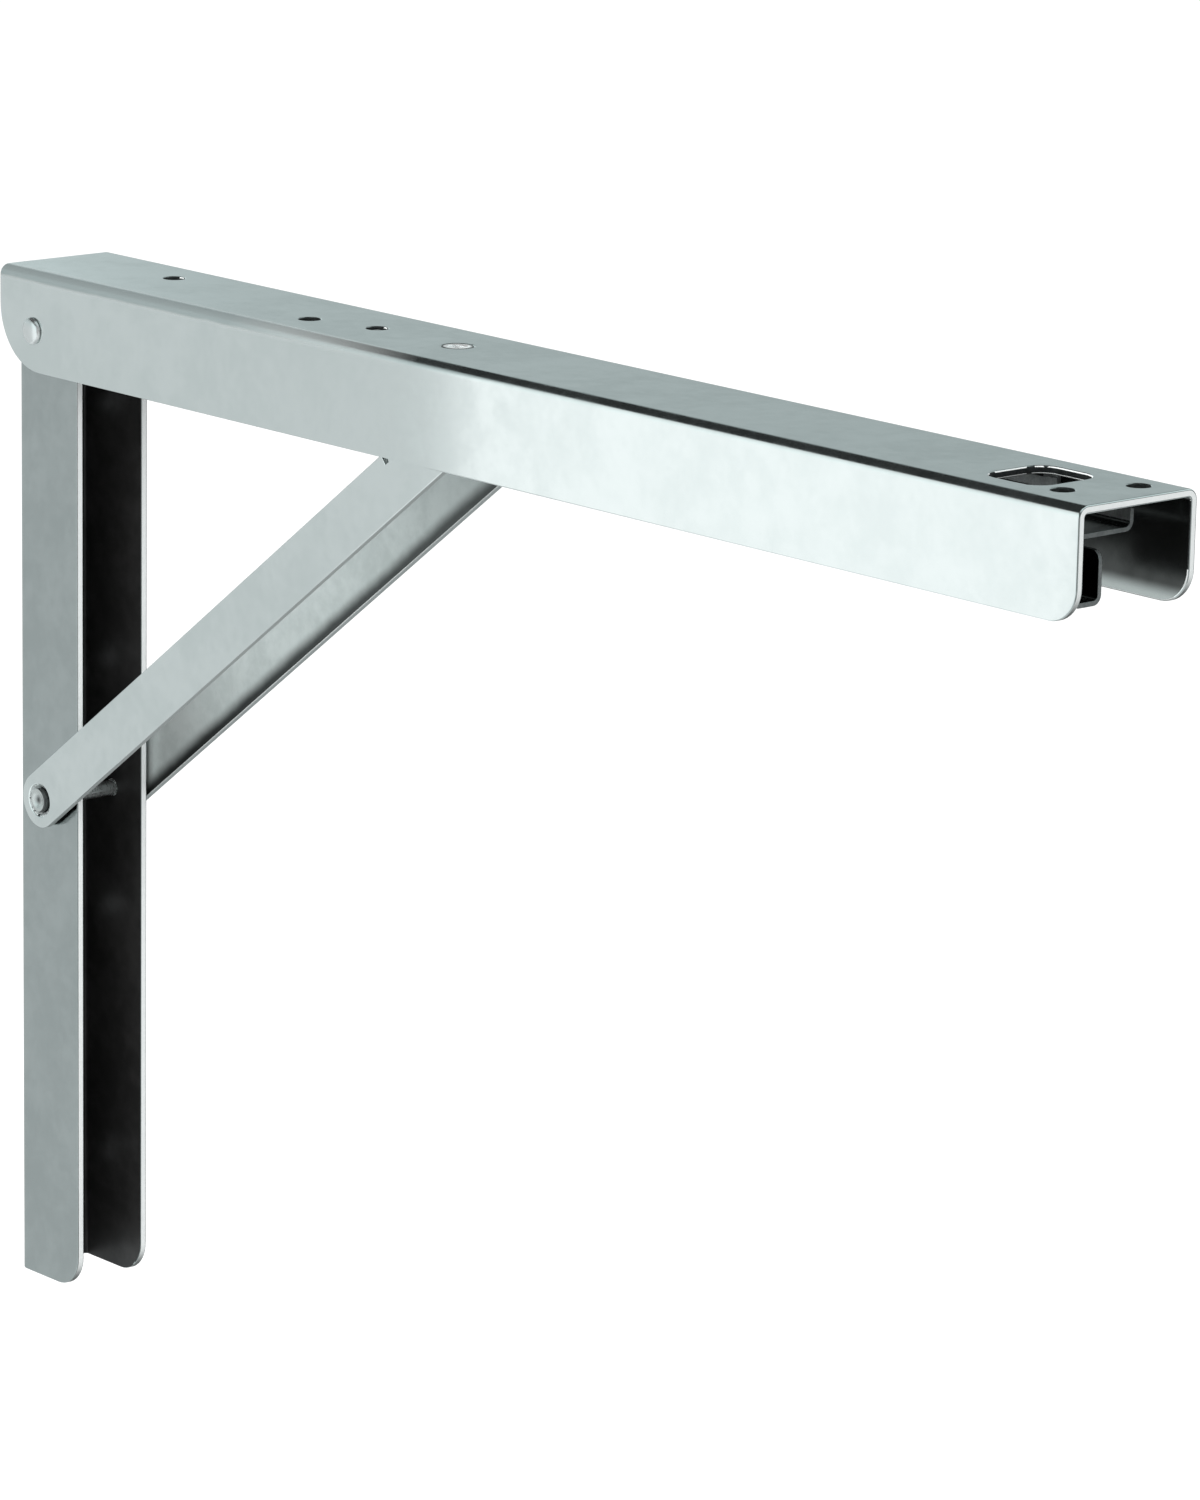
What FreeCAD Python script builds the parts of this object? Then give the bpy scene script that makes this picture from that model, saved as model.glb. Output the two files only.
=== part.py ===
import FreeCAD, Part
import math
import os
import Sketcher
from FreeCAD import Placement, Rotation, Vector

# Folding bracket for a drop leaf: a wall rail, an arm that hinges on it, and a strut
# whose upper pin slides in the arm until a latch hook holds it.
# Millimetres. X runs out from the wall along the open arm, Y across it, Z up.
# The origin is on the wall, level with the top pivot, half way between the flanges.
# Each piece is drawn about the top pivot, and its Placement sets it out from the wall.

SIZES = (
    ("sheet", "2.0", "steel sheet of the arm, rail and strut"),
    ("bend_radius", "2.8", "outside radius of every bend in that sheet"),
    ("pivot_play", "0.05", "radial play of a rivet or pin in a moving hole"),
    ("side_play", "0.1", "play along a pin between pieces that turn on each other"),
    ("screw_hole", "5.5", "bore for a wood screw"),
    ("arm_top", "15.9", "top face of the arm above the pivot"),
    ("arm_drop", "11.0", "lower edge of the arm below the pivot"),
    ("arm_overhang", "48.2", "front end of the arm past the folded slide pin"),
    ("arm_rear", "14.6", "rear end of the arm behind the pivot"),
    ("arm_front_corner", "8.5", "corner radius of the flanges at the front"),
    ("arm_rear_corner", "17.0", "corner radius of the flanges at the wall"),
    ("screw_one_x", "30.2", "first board screw from the pivot"),
    ("screw_one_y", "4.9", "first board screw off the middle line"),
    ("screw_two_x", "99.7", "second board screw from the pivot"),
    ("screw_two_y", "5.3", "second board screw off the middle line, on the other side"),
    ("screw_three_back", "15.8", "third board screw from the arm's front"),
    ("screw_three_y", "7.9", "third board screw off the middle line"),
    ("screw_four_back", "9.2", "fourth board screw from the arm's front"),
    ("screw_four_y", "9.3", "fourth board screw off the middle line, on the other side"),
    ("window_back", "39.9", "opening in the arm's top, from the arm's front to its rear edge"),
    ("window_length", "18.5", "opening in the arm's top, along the arm"),
    ("window_width", "20.0", "opening in the arm's top, across it"),
    ("window_corner", "5.0", "corner radius of that opening"),
    ("rail_width", "23.1", "outside width of the wall rail"),
    ("rail_back", "16.7", "wall face of the rail behind the pivot"),
    ("rail_front", "9.9", "front edges of the rail from the pivot"),
    ("rail_bottom", "263.3", "lower end of the rail below the pivot"),
    ("rail_corner", "9.0", "corner radius of the rail's flanges at the bottom"),
    ("rail_gap", "0.4", "running gap between the rail's top and the arm's inside"),
    ("wall_hole_first", "25.0", "first wall screw below the pivot"),
    ("wall_hole_pitch", "70.0", "step from one wall screw to the next"),
    ("wall_hole_count", "4", "number of wall screws"),
    ("strut_rail_gap", "1.25", "gap between the strut and the rail"),
    ("strut_back", "7.4", "closed edge of the strut from its pin line"),
    ("strut_open", "7.4", "open edge of the strut from its pin line"),
    ("strut_length", "208.6", "strut pivot to slide pin"),
    ("strut_tail", "7.2", "strut end past its pivot"),
    ("strut_tail_flat", "0.8", "flat between the two rounds of the strut's wall end"),
    ("strut_nose", "9.0", "strut end past the slide pin"),
    ("strut_nose_corner", "6.5", "corner radius at the strut's arm end"),
    ("strut_pivot_back", "2.9", "strut pivot behind the top pivot"),
    ("strut_pivot_drop", "128.1", "strut pivot below the top pivot"),
    ("bridge_back", "22.6", "start of the strut's cross web behind the slide pin"),
    ("bridge_length", "16.0", "length of the strut's cross web"),
    ("relief_width", "1.5", "width of the slits beside the cross web"),
    ("rivet_radius", "3.0", "shank radius of the top pivot rivet"),
    ("dome_radius", "3.6", "head radius of the top pivot rivet"),
    ("dome_height", "1.4", "head height of the top pivot rivet"),
    ("strut_rivet_radius", "2.0", "shank radius of the strut rivet"),
    ("dish_radius", "3.3", "head radius of the strut rivet"),
    ("dish_rise", "0.45", "head of the strut rivet above the strut's side"),
    ("dish_depth", "0.6", "depth of the dish in that head"),
    ("dish_bevel", "0.2", "bevel round that head"),
    ("seat_radius", "4.7", "radius of the seat sunk in the strut round that head"),
    ("seat_share", "0.6", "depth of that seat as a share of the sheet"),
    ("tube_wall", "1.4", "wall of the spacer tube, and half the rim of the bushes and washers"),
    ("pin_radius", "3.0", "radius of the slide pin"),
    ("pin_end_gap", "0.2", "gap from the slide pin's ends to the arm"),
    ("pin_bevel", "0.4", "bevel on the ends of the pins"),
    ("roller_radius", "4.0", "outside radius of the latch roller"),
    ("guide_sheet", "1.2", "steel sheet of the slide guide"),
    ("guide_lead", "51.0", "rear end of the guide behind the slide pin"),
    ("guide_window_gap", "0.4", "front end of the guide short of the opening"),
    ("guide_strut_gap", "0.5", "gap between the guide and the strut"),
    ("guide_stop_drop", "8.0", "lower edge of the guide's stops below the pivot"),
    ("guide_stop_length", "10.0", "rear stop of the guide, along the arm"),
    ("front_stop_gap", "0.3", "gap between the folded slide pin and the front stop"),
    ("guide_bend", "2.0", "outside radius of the guide's bends"),
    ("guide_notch", "20.0", "notch in the guide's front for the lever, along the arm"),
    ("eyelet_back", "12.45", "eyelet that holds the guide, behind the slide pin"),
    ("eyelet_radius", "3.2", "barrel radius of the eyelet"),
    ("eyelet_bore", "2.5", "bore radius of the eyelet"),
    ("eyelet_flange", "4.1", "radius of the eyelet's two flanges"),
    ("eyelet_flange_depth", "0.9", "depth of the eyelet's sunk flange"),
    ("eyelet_foot", "0.7", "thickness of the eyelet's lower flange"),
    ("nib_back", "43.85", "locating nib of the guide behind the slide pin"),
    ("nib_radius", "1.7", "radius of the locating nib"),
    ("nib_height", "1.5", "nib above the guide"),
    ("lever_sheet", "1.2", "steel sheet of the release lever"),
    ("lever_rail_gap", "0.25", "gap between the lever and the folded rail"),
    ("lever_roller_gap", "4.4", "gap between the lever and the top of the latch roller"),
    ("lever_depth", "5.3", "depth of the lever's channel"),
    ("lever_start", "13.05", "rear end of the lever in front of the slide pin"),
    ("lever_back", "10.3", "front end of the lever behind the arm's front"),
    ("lever_bend", "2.4", "outside radius of the lever's bends"),
    ("hook_tab_length", "24.0", "finger hook of the lever, along the arm"),
    ("hook_tab_rise", "0.9", "underside of the finger hook above the arm's lower edge"),
    ("hook_tab_inner", "0.1", "far side of the finger hook short of the middle line"),
    ("hook_tab_top", "2.3", "upper edge of the finger hook above the pivot"),
    ("hook_tab_corner", "2.6", "corner radius of the finger hook"),
    ("fulcrum_reach", "106.05", "lever pin in front of the slide pin"),
    ("lever_guide_gap", "0.5", "gap between the lever's lobes and the guide"),
    ("fulcrum_radius", "1.5", "radius of the lever pin"),
    ("fulcrum_lobe", "2.9", "radius of the lever and ears round that pin"),
    ("ear_gap", "0.3", "gap between the lever and the ears"),
    ("pin_head_radius", "2.3", "head radius of the lever pin"),
    ("pin_head_height", "0.6", "head height of the lever pin"),
    ("latch_sheet", "2.0", "steel of the latch hook"),
    ("latch_side_gap", "0.2", "gap between the latch hook and the lever's sides"),
    ("latch_overhang", "7.95", "rear end of the latch hook behind the slide pin"),
    ("latch_length", "44.0", "length of the latch hook"),
    ("latch_nose", "4.6", "length of the latch hook's nose"),
    ("latch_gap", "0.1", "gap between the nose and the roller"),
    ("latch_lift", "2.7", "room that the lifted nose leaves over its latched place"),
    ("latch_rivet_radius", "1.6", "shank radius of the latch rivets"),
    ("latch_rivet_head", "2.8", "head radius of the latch rivets"),
    ("latch_rivet_cap", "0.8", "head height of the latch rivets"),
    ("latch_rivet_inset", "6.0", "second latch rivet behind the hook's front end"),
    ("latch_rivet_step", "11.0", "step from the first latch rivet to the second"),
    ("wire_radius", "0.35", "wire radius of the lever spring"),
    ("coil_gap", "0.2", "play of the spring's coil round its pin"),
    ("coil_turns", "2.5", "turns of the lever spring"),
    ("coil_pitch", "0.9", "pitch of the lever spring"),
    ("coil_bends", "16", "short bends that make up one turn of that spring"),
    ("spring_leg", "9.0", "length of the spring's legs"),
    ("spring_leg_rise", "4.0", "rise of the spring's upper leg, in degrees"),
)

# The breaks of a domed head, as shares of its radius and of its height.
DOME = (("1", "0.25"), ("0.88", "0.62"), ("0.62", "0.88"), ("0.25", "1"))

NEAR_ZERO = 1e-9
SAME_PLACE = 1e-4
MITRED_BENDS = 1
X_AXIS = Vector(1, 0, 0)
Y_AXIS = Vector(0, 1, 0)
Z_AXIS = Vector(0, 0, 1)

doc = FreeCAD.newDocument("drop_leaf_bracket")


def make_sizes():
    """The sheet of driving sizes: what each one is, its number and its alias."""
    sheet = doc.addObject("Spreadsheet::Sheet", "Sizes")
    for row, (alias, number, meaning) in enumerate(SIZES, 1):
        sheet.set(f"A{row}", meaning)
        sheet.set(f"B{row}", number)
        sheet.setAlias(f"B{row}", alias)
    doc.recompute()
    return sheet


sizes = make_sizes()


def value(expression):
    """The number that an expression over the sheet gives now."""
    result = sizes.evalExpression(expression)
    return float(getattr(result, "Value", result))


def bound(formula):
    """A formula whose words are aliases, written out as an expression over the sheet."""
    aliases = {alias for alias, _, _ in SIZES}
    word, out = "", ""
    for letter in formula + " ":
        if letter.isalnum() or letter == "_":
            word += letter
            continue
        out += f"Sizes.{word}" if word in aliases else word
        out += letter
        word = ""
    return out.strip()


# Places that several pieces share, as formulas over the sizes.
RAIL_HALF = "(rail_width / 2)"
RAIL_IN = "(rail_width / 2 - sheet)"
RAIL_TOP = "(arm_top - sheet - rail_gap)"
STRUT_IN = "(rail_width / 2 + strut_rail_gap)"
STRUT_HALF = "(rail_width / 2 + strut_rail_gap + sheet)"
ARM_IN = f"({STRUT_HALF} + guide_strut_gap + guide_sheet + side_play)"
ARM_HALF = f"({ARM_IN} + sheet)"
ARM_CEILING = "(arm_top - sheet)"
STRUT_ANGLE = "asin((strut_pivot_drop - strut_pivot_back) / strut_length)"
SEAT_FLOOR = f"({STRUT_HALF} - sheet * seat_share)"
DISH_FLAT = "(dish_radius / 3)"
DISH_RIM = "(dish_radius * 3 / 4)"
BRIDGE_START = "(strut_length - bridge_back)"
BRIDGE_END = "(strut_length - bridge_back + bridge_length)"
PIN_X = f"(strut_length * cos({STRUT_ANGLE}) - strut_pivot_back)"
FOLDED_PIN_X = "(strut_length + strut_pivot_drop)"
ROLLER_TOP = "(roller_radius - strut_pivot_back)"
ARM_FRONT = f"({FOLDED_PIN_X} + arm_overhang)"
WINDOW_X = f"({ARM_FRONT} - window_back)"
NIB_X = f"({PIN_X} - nib_back)"
EYELET_X = f"({PIN_X} - eyelet_back)"
GUIDE_HALF = f"({ARM_IN} - side_play)"
GUIDE_CEILING = "(arm_top - sheet - guide_sheet)"
GUIDE_REAR = f"({PIN_X} - guide_lead)"
GUIDE_FRONT = f"({WINDOW_X} - guide_window_gap)"
TRACK_Z = "(pin_radius - strut_pivot_back + side_play)"
LEVER_HALF = f"({RAIL_IN} - lever_rail_gap)"
LEVER_IN = f"({LEVER_HALF} - lever_sheet)"
LEVER_FLOOR = f"({ROLLER_TOP} + lever_roller_gap)"
LEVER_DECK = f"({LEVER_FLOOR} + lever_sheet)"
LEVER_TOP = f"({LEVER_FLOOR} + lever_depth)"
LEVER_REAR = f"({PIN_X} + lever_start)"
LEVER_FRONT = f"({ARM_FRONT} - lever_back)"
FULCRUM_X = f"({PIN_X} + fulcrum_reach)"
FULCRUM_Z = f"({GUIDE_CEILING} - fulcrum_lobe - lever_guide_gap)"
EAR_IN = f"({LEVER_HALF} + ear_gap)"
EAR_OUT = f"({EAR_IN} + guide_sheet)"
LATCH_HALF = f"({LEVER_IN} - latch_side_gap)"
LATCH_REAR = f"({PIN_X} - latch_overhang)"
LATCH_FRONT = f"({LATCH_REAR} + latch_length)"
LATCH_NOSE_X = f"({PIN_X} + roller_radius + latch_gap)"
LATCH_RIVET_X = f"({LATCH_FRONT} - latch_rivet_inset - latch_rivet_step)"


def set_out(piece, x="0", z="0"):
    """Place a piece that is drawn about the top pivot, or about a point given by two formulas."""
    piece.setExpression("Placement.Base.x", bound(f"rail_back + {x}"))
    piece.setExpression("Placement.Base.z", bound(z))


def new_body(name):
    body = doc.addObject("PartDesign::Body", name)
    body.Label = name
    return body


def new_sketch(body, plane, name, offset="0"):
    """A sketch on one of the body's origin planes, moved along the plane's normal by a formula."""
    sketch = body.newObject("Sketcher::SketchObject", f"{body.Name}_{name}")
    origin = [item for item in body.Origin.OriginFeatures if item.Role == plane][0]
    sketch.AttachmentSupport = [(origin, "")]
    sketch.MapMode = "FlatFace"
    sketch.setExpression("AttachmentOffset.Base.z", bound(offset))
    return sketch


def hold(sketch, kind, geometry, point, formula):
    """Hold a point of the sketch at a distance from the origin, given by a formula."""
    number = value(bound(formula))
    if abs(number) < NEAR_ZERO:
        axis = -2 if kind == "DistanceX" else -1
        sketch.addConstraint(Sketcher.Constraint("PointOnObject", geometry, point, axis))
        return
    index = sketch.addConstraint(Sketcher.Constraint(kind, geometry, point, number))
    sketch.setExpression(f"Constraints[{index}]", bound(formula))


def outline(sketch, corners):
    """A closed run of straight edges through the corners, each held by two formulas."""
    points = [Vector(value(bound(x)), value(bound(y)), 0) for x, y in corners]
    first = sketch.GeometryCount
    count = len(points)
    for i in range(count):
        sketch.addGeometry(Part.LineSegment(points[i], points[(i + 1) % count]), False)
    for i in range(count):
        joined = Sketcher.Constraint("Coincident", first + i, 2, first + (i + 1) % count, 1)
        sketch.addConstraint(joined)
    for i, (x, y) in enumerate(corners):
        hold(sketch, "DistanceX", first + i, 1, x)
        hold(sketch, "DistanceY", first + i, 1, y)


def circle(sketch, x, y, radius):
    """A circle whose centre and radius are formulas."""
    number = value(bound(radius))
    shape = Part.Circle(Vector(value(bound(x)), value(bound(y)), 0), Z_AXIS, number)
    geometry = sketch.addGeometry(shape, False)
    hold(sketch, "DistanceX", geometry, 3, x)
    hold(sketch, "DistanceY", geometry, 3, y)
    index = sketch.addConstraint(Sketcher.Constraint("Radius", geometry, number))
    sketch.setExpression(f"Constraints[{index}]", bound(radius))


def mirrored(corners):
    """Corners on one side of the sketch's upright axis, and the same again on the other."""
    return corners + [(f"-({x})", y) for x, y in reversed(corners)]


def finish(body, feature, name):
    """Name the feature, make it the body's tip and work it out."""
    feature.Label = f"{body.Name}_{name}"
    body.Tip = feature
    doc.recompute()
    return feature


def pad(body, sketch, name, length, symmetric=False, backwards=False):
    feature = body.newObject("PartDesign::Pad", f"{body.Name}_{name}")
    feature.Profile = sketch
    feature.setExpression("Length", bound(length))
    feature.SideType = "Symmetric" if symmetric else "One side"
    feature.Reversed = backwards
    return finish(body, feature, name)


def pocket(body, sketch, name, depth="", symmetric=False, backwards=False):
    """A cut of a given depth, or right through the body where no depth is given."""
    before = body.Shape.Volume
    feature = body.newObject("PartDesign::Pocket", f"{body.Name}_{name}")
    feature.Profile = sketch
    feature.SideType = "Symmetric" if symmetric else "One side"
    feature.Reversed = backwards
    if depth:
        feature.setExpression("Length", bound(depth))
    else:
        feature.Type = "ThroughAll"
    finish(body, feature, name)
    if body.Shape.Volume > before - SAME_PLACE:
        raise RuntimeError(f"{name} cuts nothing from {body.Name}")
    return feature


def revolve(body, sketch, name):
    feature = body.newObject("PartDesign::Revolution", f"{body.Name}_{name}")
    feature.Profile = sketch
    feature.ReferenceAxis = (sketch, ["V_Axis"])
    return finish(body, feature, name)


def groove(body, sketch, name):
    """A turned cut about the sketch's upright axis."""
    feature = body.newObject("PartDesign::Groove", f"{body.Name}_{name}")
    feature.Profile = sketch
    feature.ReferenceAxis = (sketch, ["V_Axis"])
    return finish(body, feature, name)


def dress(body, kind, name, edges, size):
    """A fillet or a chamfer of the named edges of the body's last feature."""
    if not edges:
        raise RuntimeError(f"{name} finds no edge on {body.Name}")
    base = body.Tip
    feature = body.newObject(f"PartDesign::{kind}", f"{body.Name}_{name}")
    feature.Base = (base, edges)
    feature.setExpression("Radius" if kind == "Fillet" else "Size", bound(size))
    return finish(body, feature, name)


def straight_edges(body, direction, places):
    """Names of the body's straight edges along a direction that pass through a place."""
    names = []
    spots = [Vector(*(value(bound(part)) for part in place)) for place in places]
    for number, edge in enumerate(body.Shape.Edges, 1):
        if edge.Curve.TypeId != "Part::GeomLine":
            continue
        start, end = edge.Vertexes[0].Point, edge.Vertexes[-1].Point
        along = (end - start).normalize()
        if abs(abs(along.dot(direction)) - 1) > SAME_PLACE:
            continue
        for spot in spots:
            across = (spot - start).cross(direction).Length
            if across < SAME_PLACE and edge.distToShape(Part.Vertex(spot))[0] < SAME_PLACE:
                names.append(f"Edge{number}")
                break
    return names


def round_edges(body, centre, radius):
    """Names of the body's full circles with a centre and a radius."""
    names = []
    spot = Vector(*(value(bound(part)) for part in centre))
    for number, edge in enumerate(body.Shape.Edges, 1):
        if edge.Curve.TypeId != "Part::GeomCircle":
            continue
        near = (edge.Curve.Center - spot).Length < SAME_PLACE
        if near and abs(edge.Curve.Radius - value(bound(radius))) < SAME_PLACE:
            names.append(f"Edge{number}")
    return names


def channel(half, inner, edge, outside, inside):
    """Section of a folded channel: its two flange edges, its outside and its inside floor."""
    return mirrored([(inner, inside), (inner, edge), (half, edge), (half, outside)])


def tube(name, x, z, inner, outer, y_from, y_to):
    """A plain tube, bush or washer across the bracket, between two places along Y."""
    body = new_body(name)
    sketch = new_sketch(body, "XZ_Plane", "ring", f"-({y_to})")
    circle(sketch, x, z, outer)
    circle(sketch, x, z, inner)
    pad(body, sketch, "length", f"({y_to}) - ({y_from})")
    set_out(body)
    return body


def make_arm():
    body = new_body("arm")
    section = new_sketch(body, "YZ_Plane", "section", "-arm_rear")
    outline(section, channel(ARM_HALF, ARM_IN, "-arm_drop", "arm_top", ARM_CEILING))
    pad(body, section, "channel", f"arm_rear + {ARM_FRONT}")

    middle = f"{ARM_FRONT} / 2"
    outer = [(middle, f"{sign}{ARM_HALF}", "arm_top") for sign in ("", "-")]
    inner = [(middle, f"{sign}{ARM_IN}", ARM_CEILING) for sign in ("", "-")]
    dress(body, "Fillet", "bends", straight_edges(body, X_AXIS, outer), "bend_radius")
    dress(body, "Fillet", "inner_bends", straight_edges(body, X_AXIS, inner), "bend_radius - sheet")

    wall = f"({ARM_HALF} - sheet / 2)"
    front = [(ARM_FRONT, f"{sign}{wall}", "-arm_drop") for sign in ("", "-")]
    rear = [("-arm_rear", f"{sign}{wall}", "-arm_drop") for sign in ("", "-")]
    dress(body, "Fillet", "front_corners", straight_edges(body, Y_AXIS, front), "arm_front_corner")
    dress(body, "Fillet", "rear_corners", straight_edges(body, Y_AXIS, rear), "arm_rear_corner")

    holes = new_sketch(body, "XY_Plane", "board_screws", "arm_top")
    circle(holes, "screw_one_x", "screw_one_y", "screw_hole / 2")
    circle(holes, "screw_two_x", "-screw_two_y", "screw_hole / 2")
    circle(holes, f"{ARM_FRONT} - screw_three_back", "-screw_three_y", "screw_hole / 2")
    circle(holes, f"{ARM_FRONT} - screw_four_back", "screw_four_y", "screw_hole / 2")
    circle(holes, NIB_X, "0", "screw_hole / 2")
    circle(holes, EYELET_X, "0", "eyelet_radius + pivot_play")
    pocket(body, holes, "holes")

    seat = round_edges(body, (EYELET_X, "0", "arm_top"), "eyelet_radius + pivot_play")
    dress(body, "Chamfer", "eyelet_seat", seat, "eyelet_flange_depth")

    window = new_sketch(body, "XY_Plane", "window", "arm_top")
    far_x = f"({WINDOW_X} + window_length)"
    outline(window, [(WINDOW_X, "-window_width / 2"), (far_x, "-window_width / 2"),
                     (far_x, "window_width / 2"), (WINDOW_X, "window_width / 2")])
    pocket(body, window, "window_cut")
    corners = [(x, f"{sign}window_width / 2", "arm_top - sheet / 2")
               for x in (WINDOW_X, far_x) for sign in ("", "-")]
    dress(body, "Fillet", "window_corners", straight_edges(body, Z_AXIS, corners), "window_corner")

    pivot = new_sketch(body, "XZ_Plane", "pivot")
    circle(pivot, "0", "0", "rivet_radius + pivot_play")
    pocket(body, pivot, "pivot_holes", symmetric=True)
    set_out(body)
    return body


def make_wall_rail():
    body = new_body("wall_rail")
    section = new_sketch(body, "XY_Plane", "section", RAIL_TOP)
    back, floor, front = "-rail_back", "(sheet - rail_back)", "rail_front"
    half, inner = RAIL_HALF, RAIL_IN
    outline(section, [(back, f"-{half}"), (front, f"-{half}"), (front, f"-{inner}"),
                      (floor, f"-{inner}"), (floor, inner), (front, inner), (front, half),
                      (back, half)])
    pad(body, section, "channel", f"{RAIL_TOP} + rail_bottom", backwards=True)

    middle = "-rail_bottom / 2"
    outer = [(back, f"{sign}{half}", middle) for sign in ("", "-")]
    bends = [(floor, f"{sign}{inner}", middle) for sign in ("", "-")]
    dress(body, "Fillet", "bends", straight_edges(body, Z_AXIS, outer), "bend_radius")
    dress(body, "Fillet", "inner_bends", straight_edges(body, Z_AXIS, bends), "bend_radius - sheet")

    wall = "(rail_width - sheet) / 2"
    low = [(front, f"{sign}{wall}", "-rail_bottom") for sign in ("", "-")]
    dress(body, "Fillet", "low_corners", straight_edges(body, Y_AXIS, low), "rail_corner")

    crown = new_sketch(body, "XZ_Plane", "crown")
    crown_cut(crown)
    pocket(body, crown, "crown_cut", symmetric=True)

    screws = new_sketch(body, "YZ_Plane", "wall_screw", back)
    circle(screws, "0", "-wall_hole_first", "screw_hole / 2")
    first = pocket(body, screws, "first_hole", "sheet", backwards=True)
    row = body.newObject("PartDesign::LinearPattern", "wall_rail_hole_row")
    row.Originals = [first]
    row.Direction = (screws, ["V_Axis"])
    row.Reversed = True
    row.setExpression("Length", bound("wall_hole_pitch * (wall_hole_count - 1)"))
    row.setExpression("Occurrences", bound("wall_hole_count"))
    finish(body, row, "hole_row")

    pivots = new_sketch(body, "XZ_Plane", "pivots")
    circle(pivots, "0", "0", "rivet_radius + pivot_play")
    circle(pivots, "-strut_pivot_back", "-strut_pivot_drop", "strut_rivet_radius + pivot_play")
    pocket(body, pivots, "pivot_holes", symmetric=True)
    set_out(body)
    return body


def crown_cut(sketch):
    """What lies outside the circle that the rail's top keeps to, so that the arm swings past."""
    radius = value(bound(RAIL_TOP))
    reach = radius + value(bound("rail_front"))
    top, side = Vector(0, radius, 0), Vector(radius, 0, 0)
    arc = Part.ArcOfCircle(Part.Circle(Vector(0, 0, 0), Z_AXIS, radius), 0, math.pi / 2)
    corners = [side, Vector(reach, 0, 0), Vector(reach, reach, 0), Vector(0, reach, 0), top]
    sketch.addGeometry(arc, False)
    for start, end in zip(corners, corners[1:]):
        sketch.addGeometry(Part.LineSegment(start, end), False)
    sketch.addConstraint(Sketcher.Constraint("Coincident", 0, 3, -1, 1))
    sketch.addConstraint(Sketcher.Constraint("Coincident", 0, 1, 1, 1))
    for line in (1, 2, 3):
        sketch.addConstraint(Sketcher.Constraint("Coincident", line, 2, line + 1, 1))
    sketch.addConstraint(Sketcher.Constraint("Coincident", 4, 2, 0, 2))
    for kind, line in (("Horizontal", 1), ("Vertical", 2), ("Horizontal", 3), ("Vertical", 4)):
        sketch.addConstraint(Sketcher.Constraint(kind, line))
    sketch.addConstraint(Sketcher.Constraint("PointOnObject", 0, 1, -1))
    sketch.addConstraint(Sketcher.Constraint("PointOnObject", 0, 2, -2))
    index = sketch.addConstraint(Sketcher.Constraint("Radius", 0, radius))
    sketch.setExpression(f"Constraints[{index}]", bound(RAIL_TOP))
    hold(sketch, "DistanceX", 2, 2, f"{RAIL_TOP} + rail_front")
    hold(sketch, "DistanceY", 2, 2, f"{RAIL_TOP} + rail_front")


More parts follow.
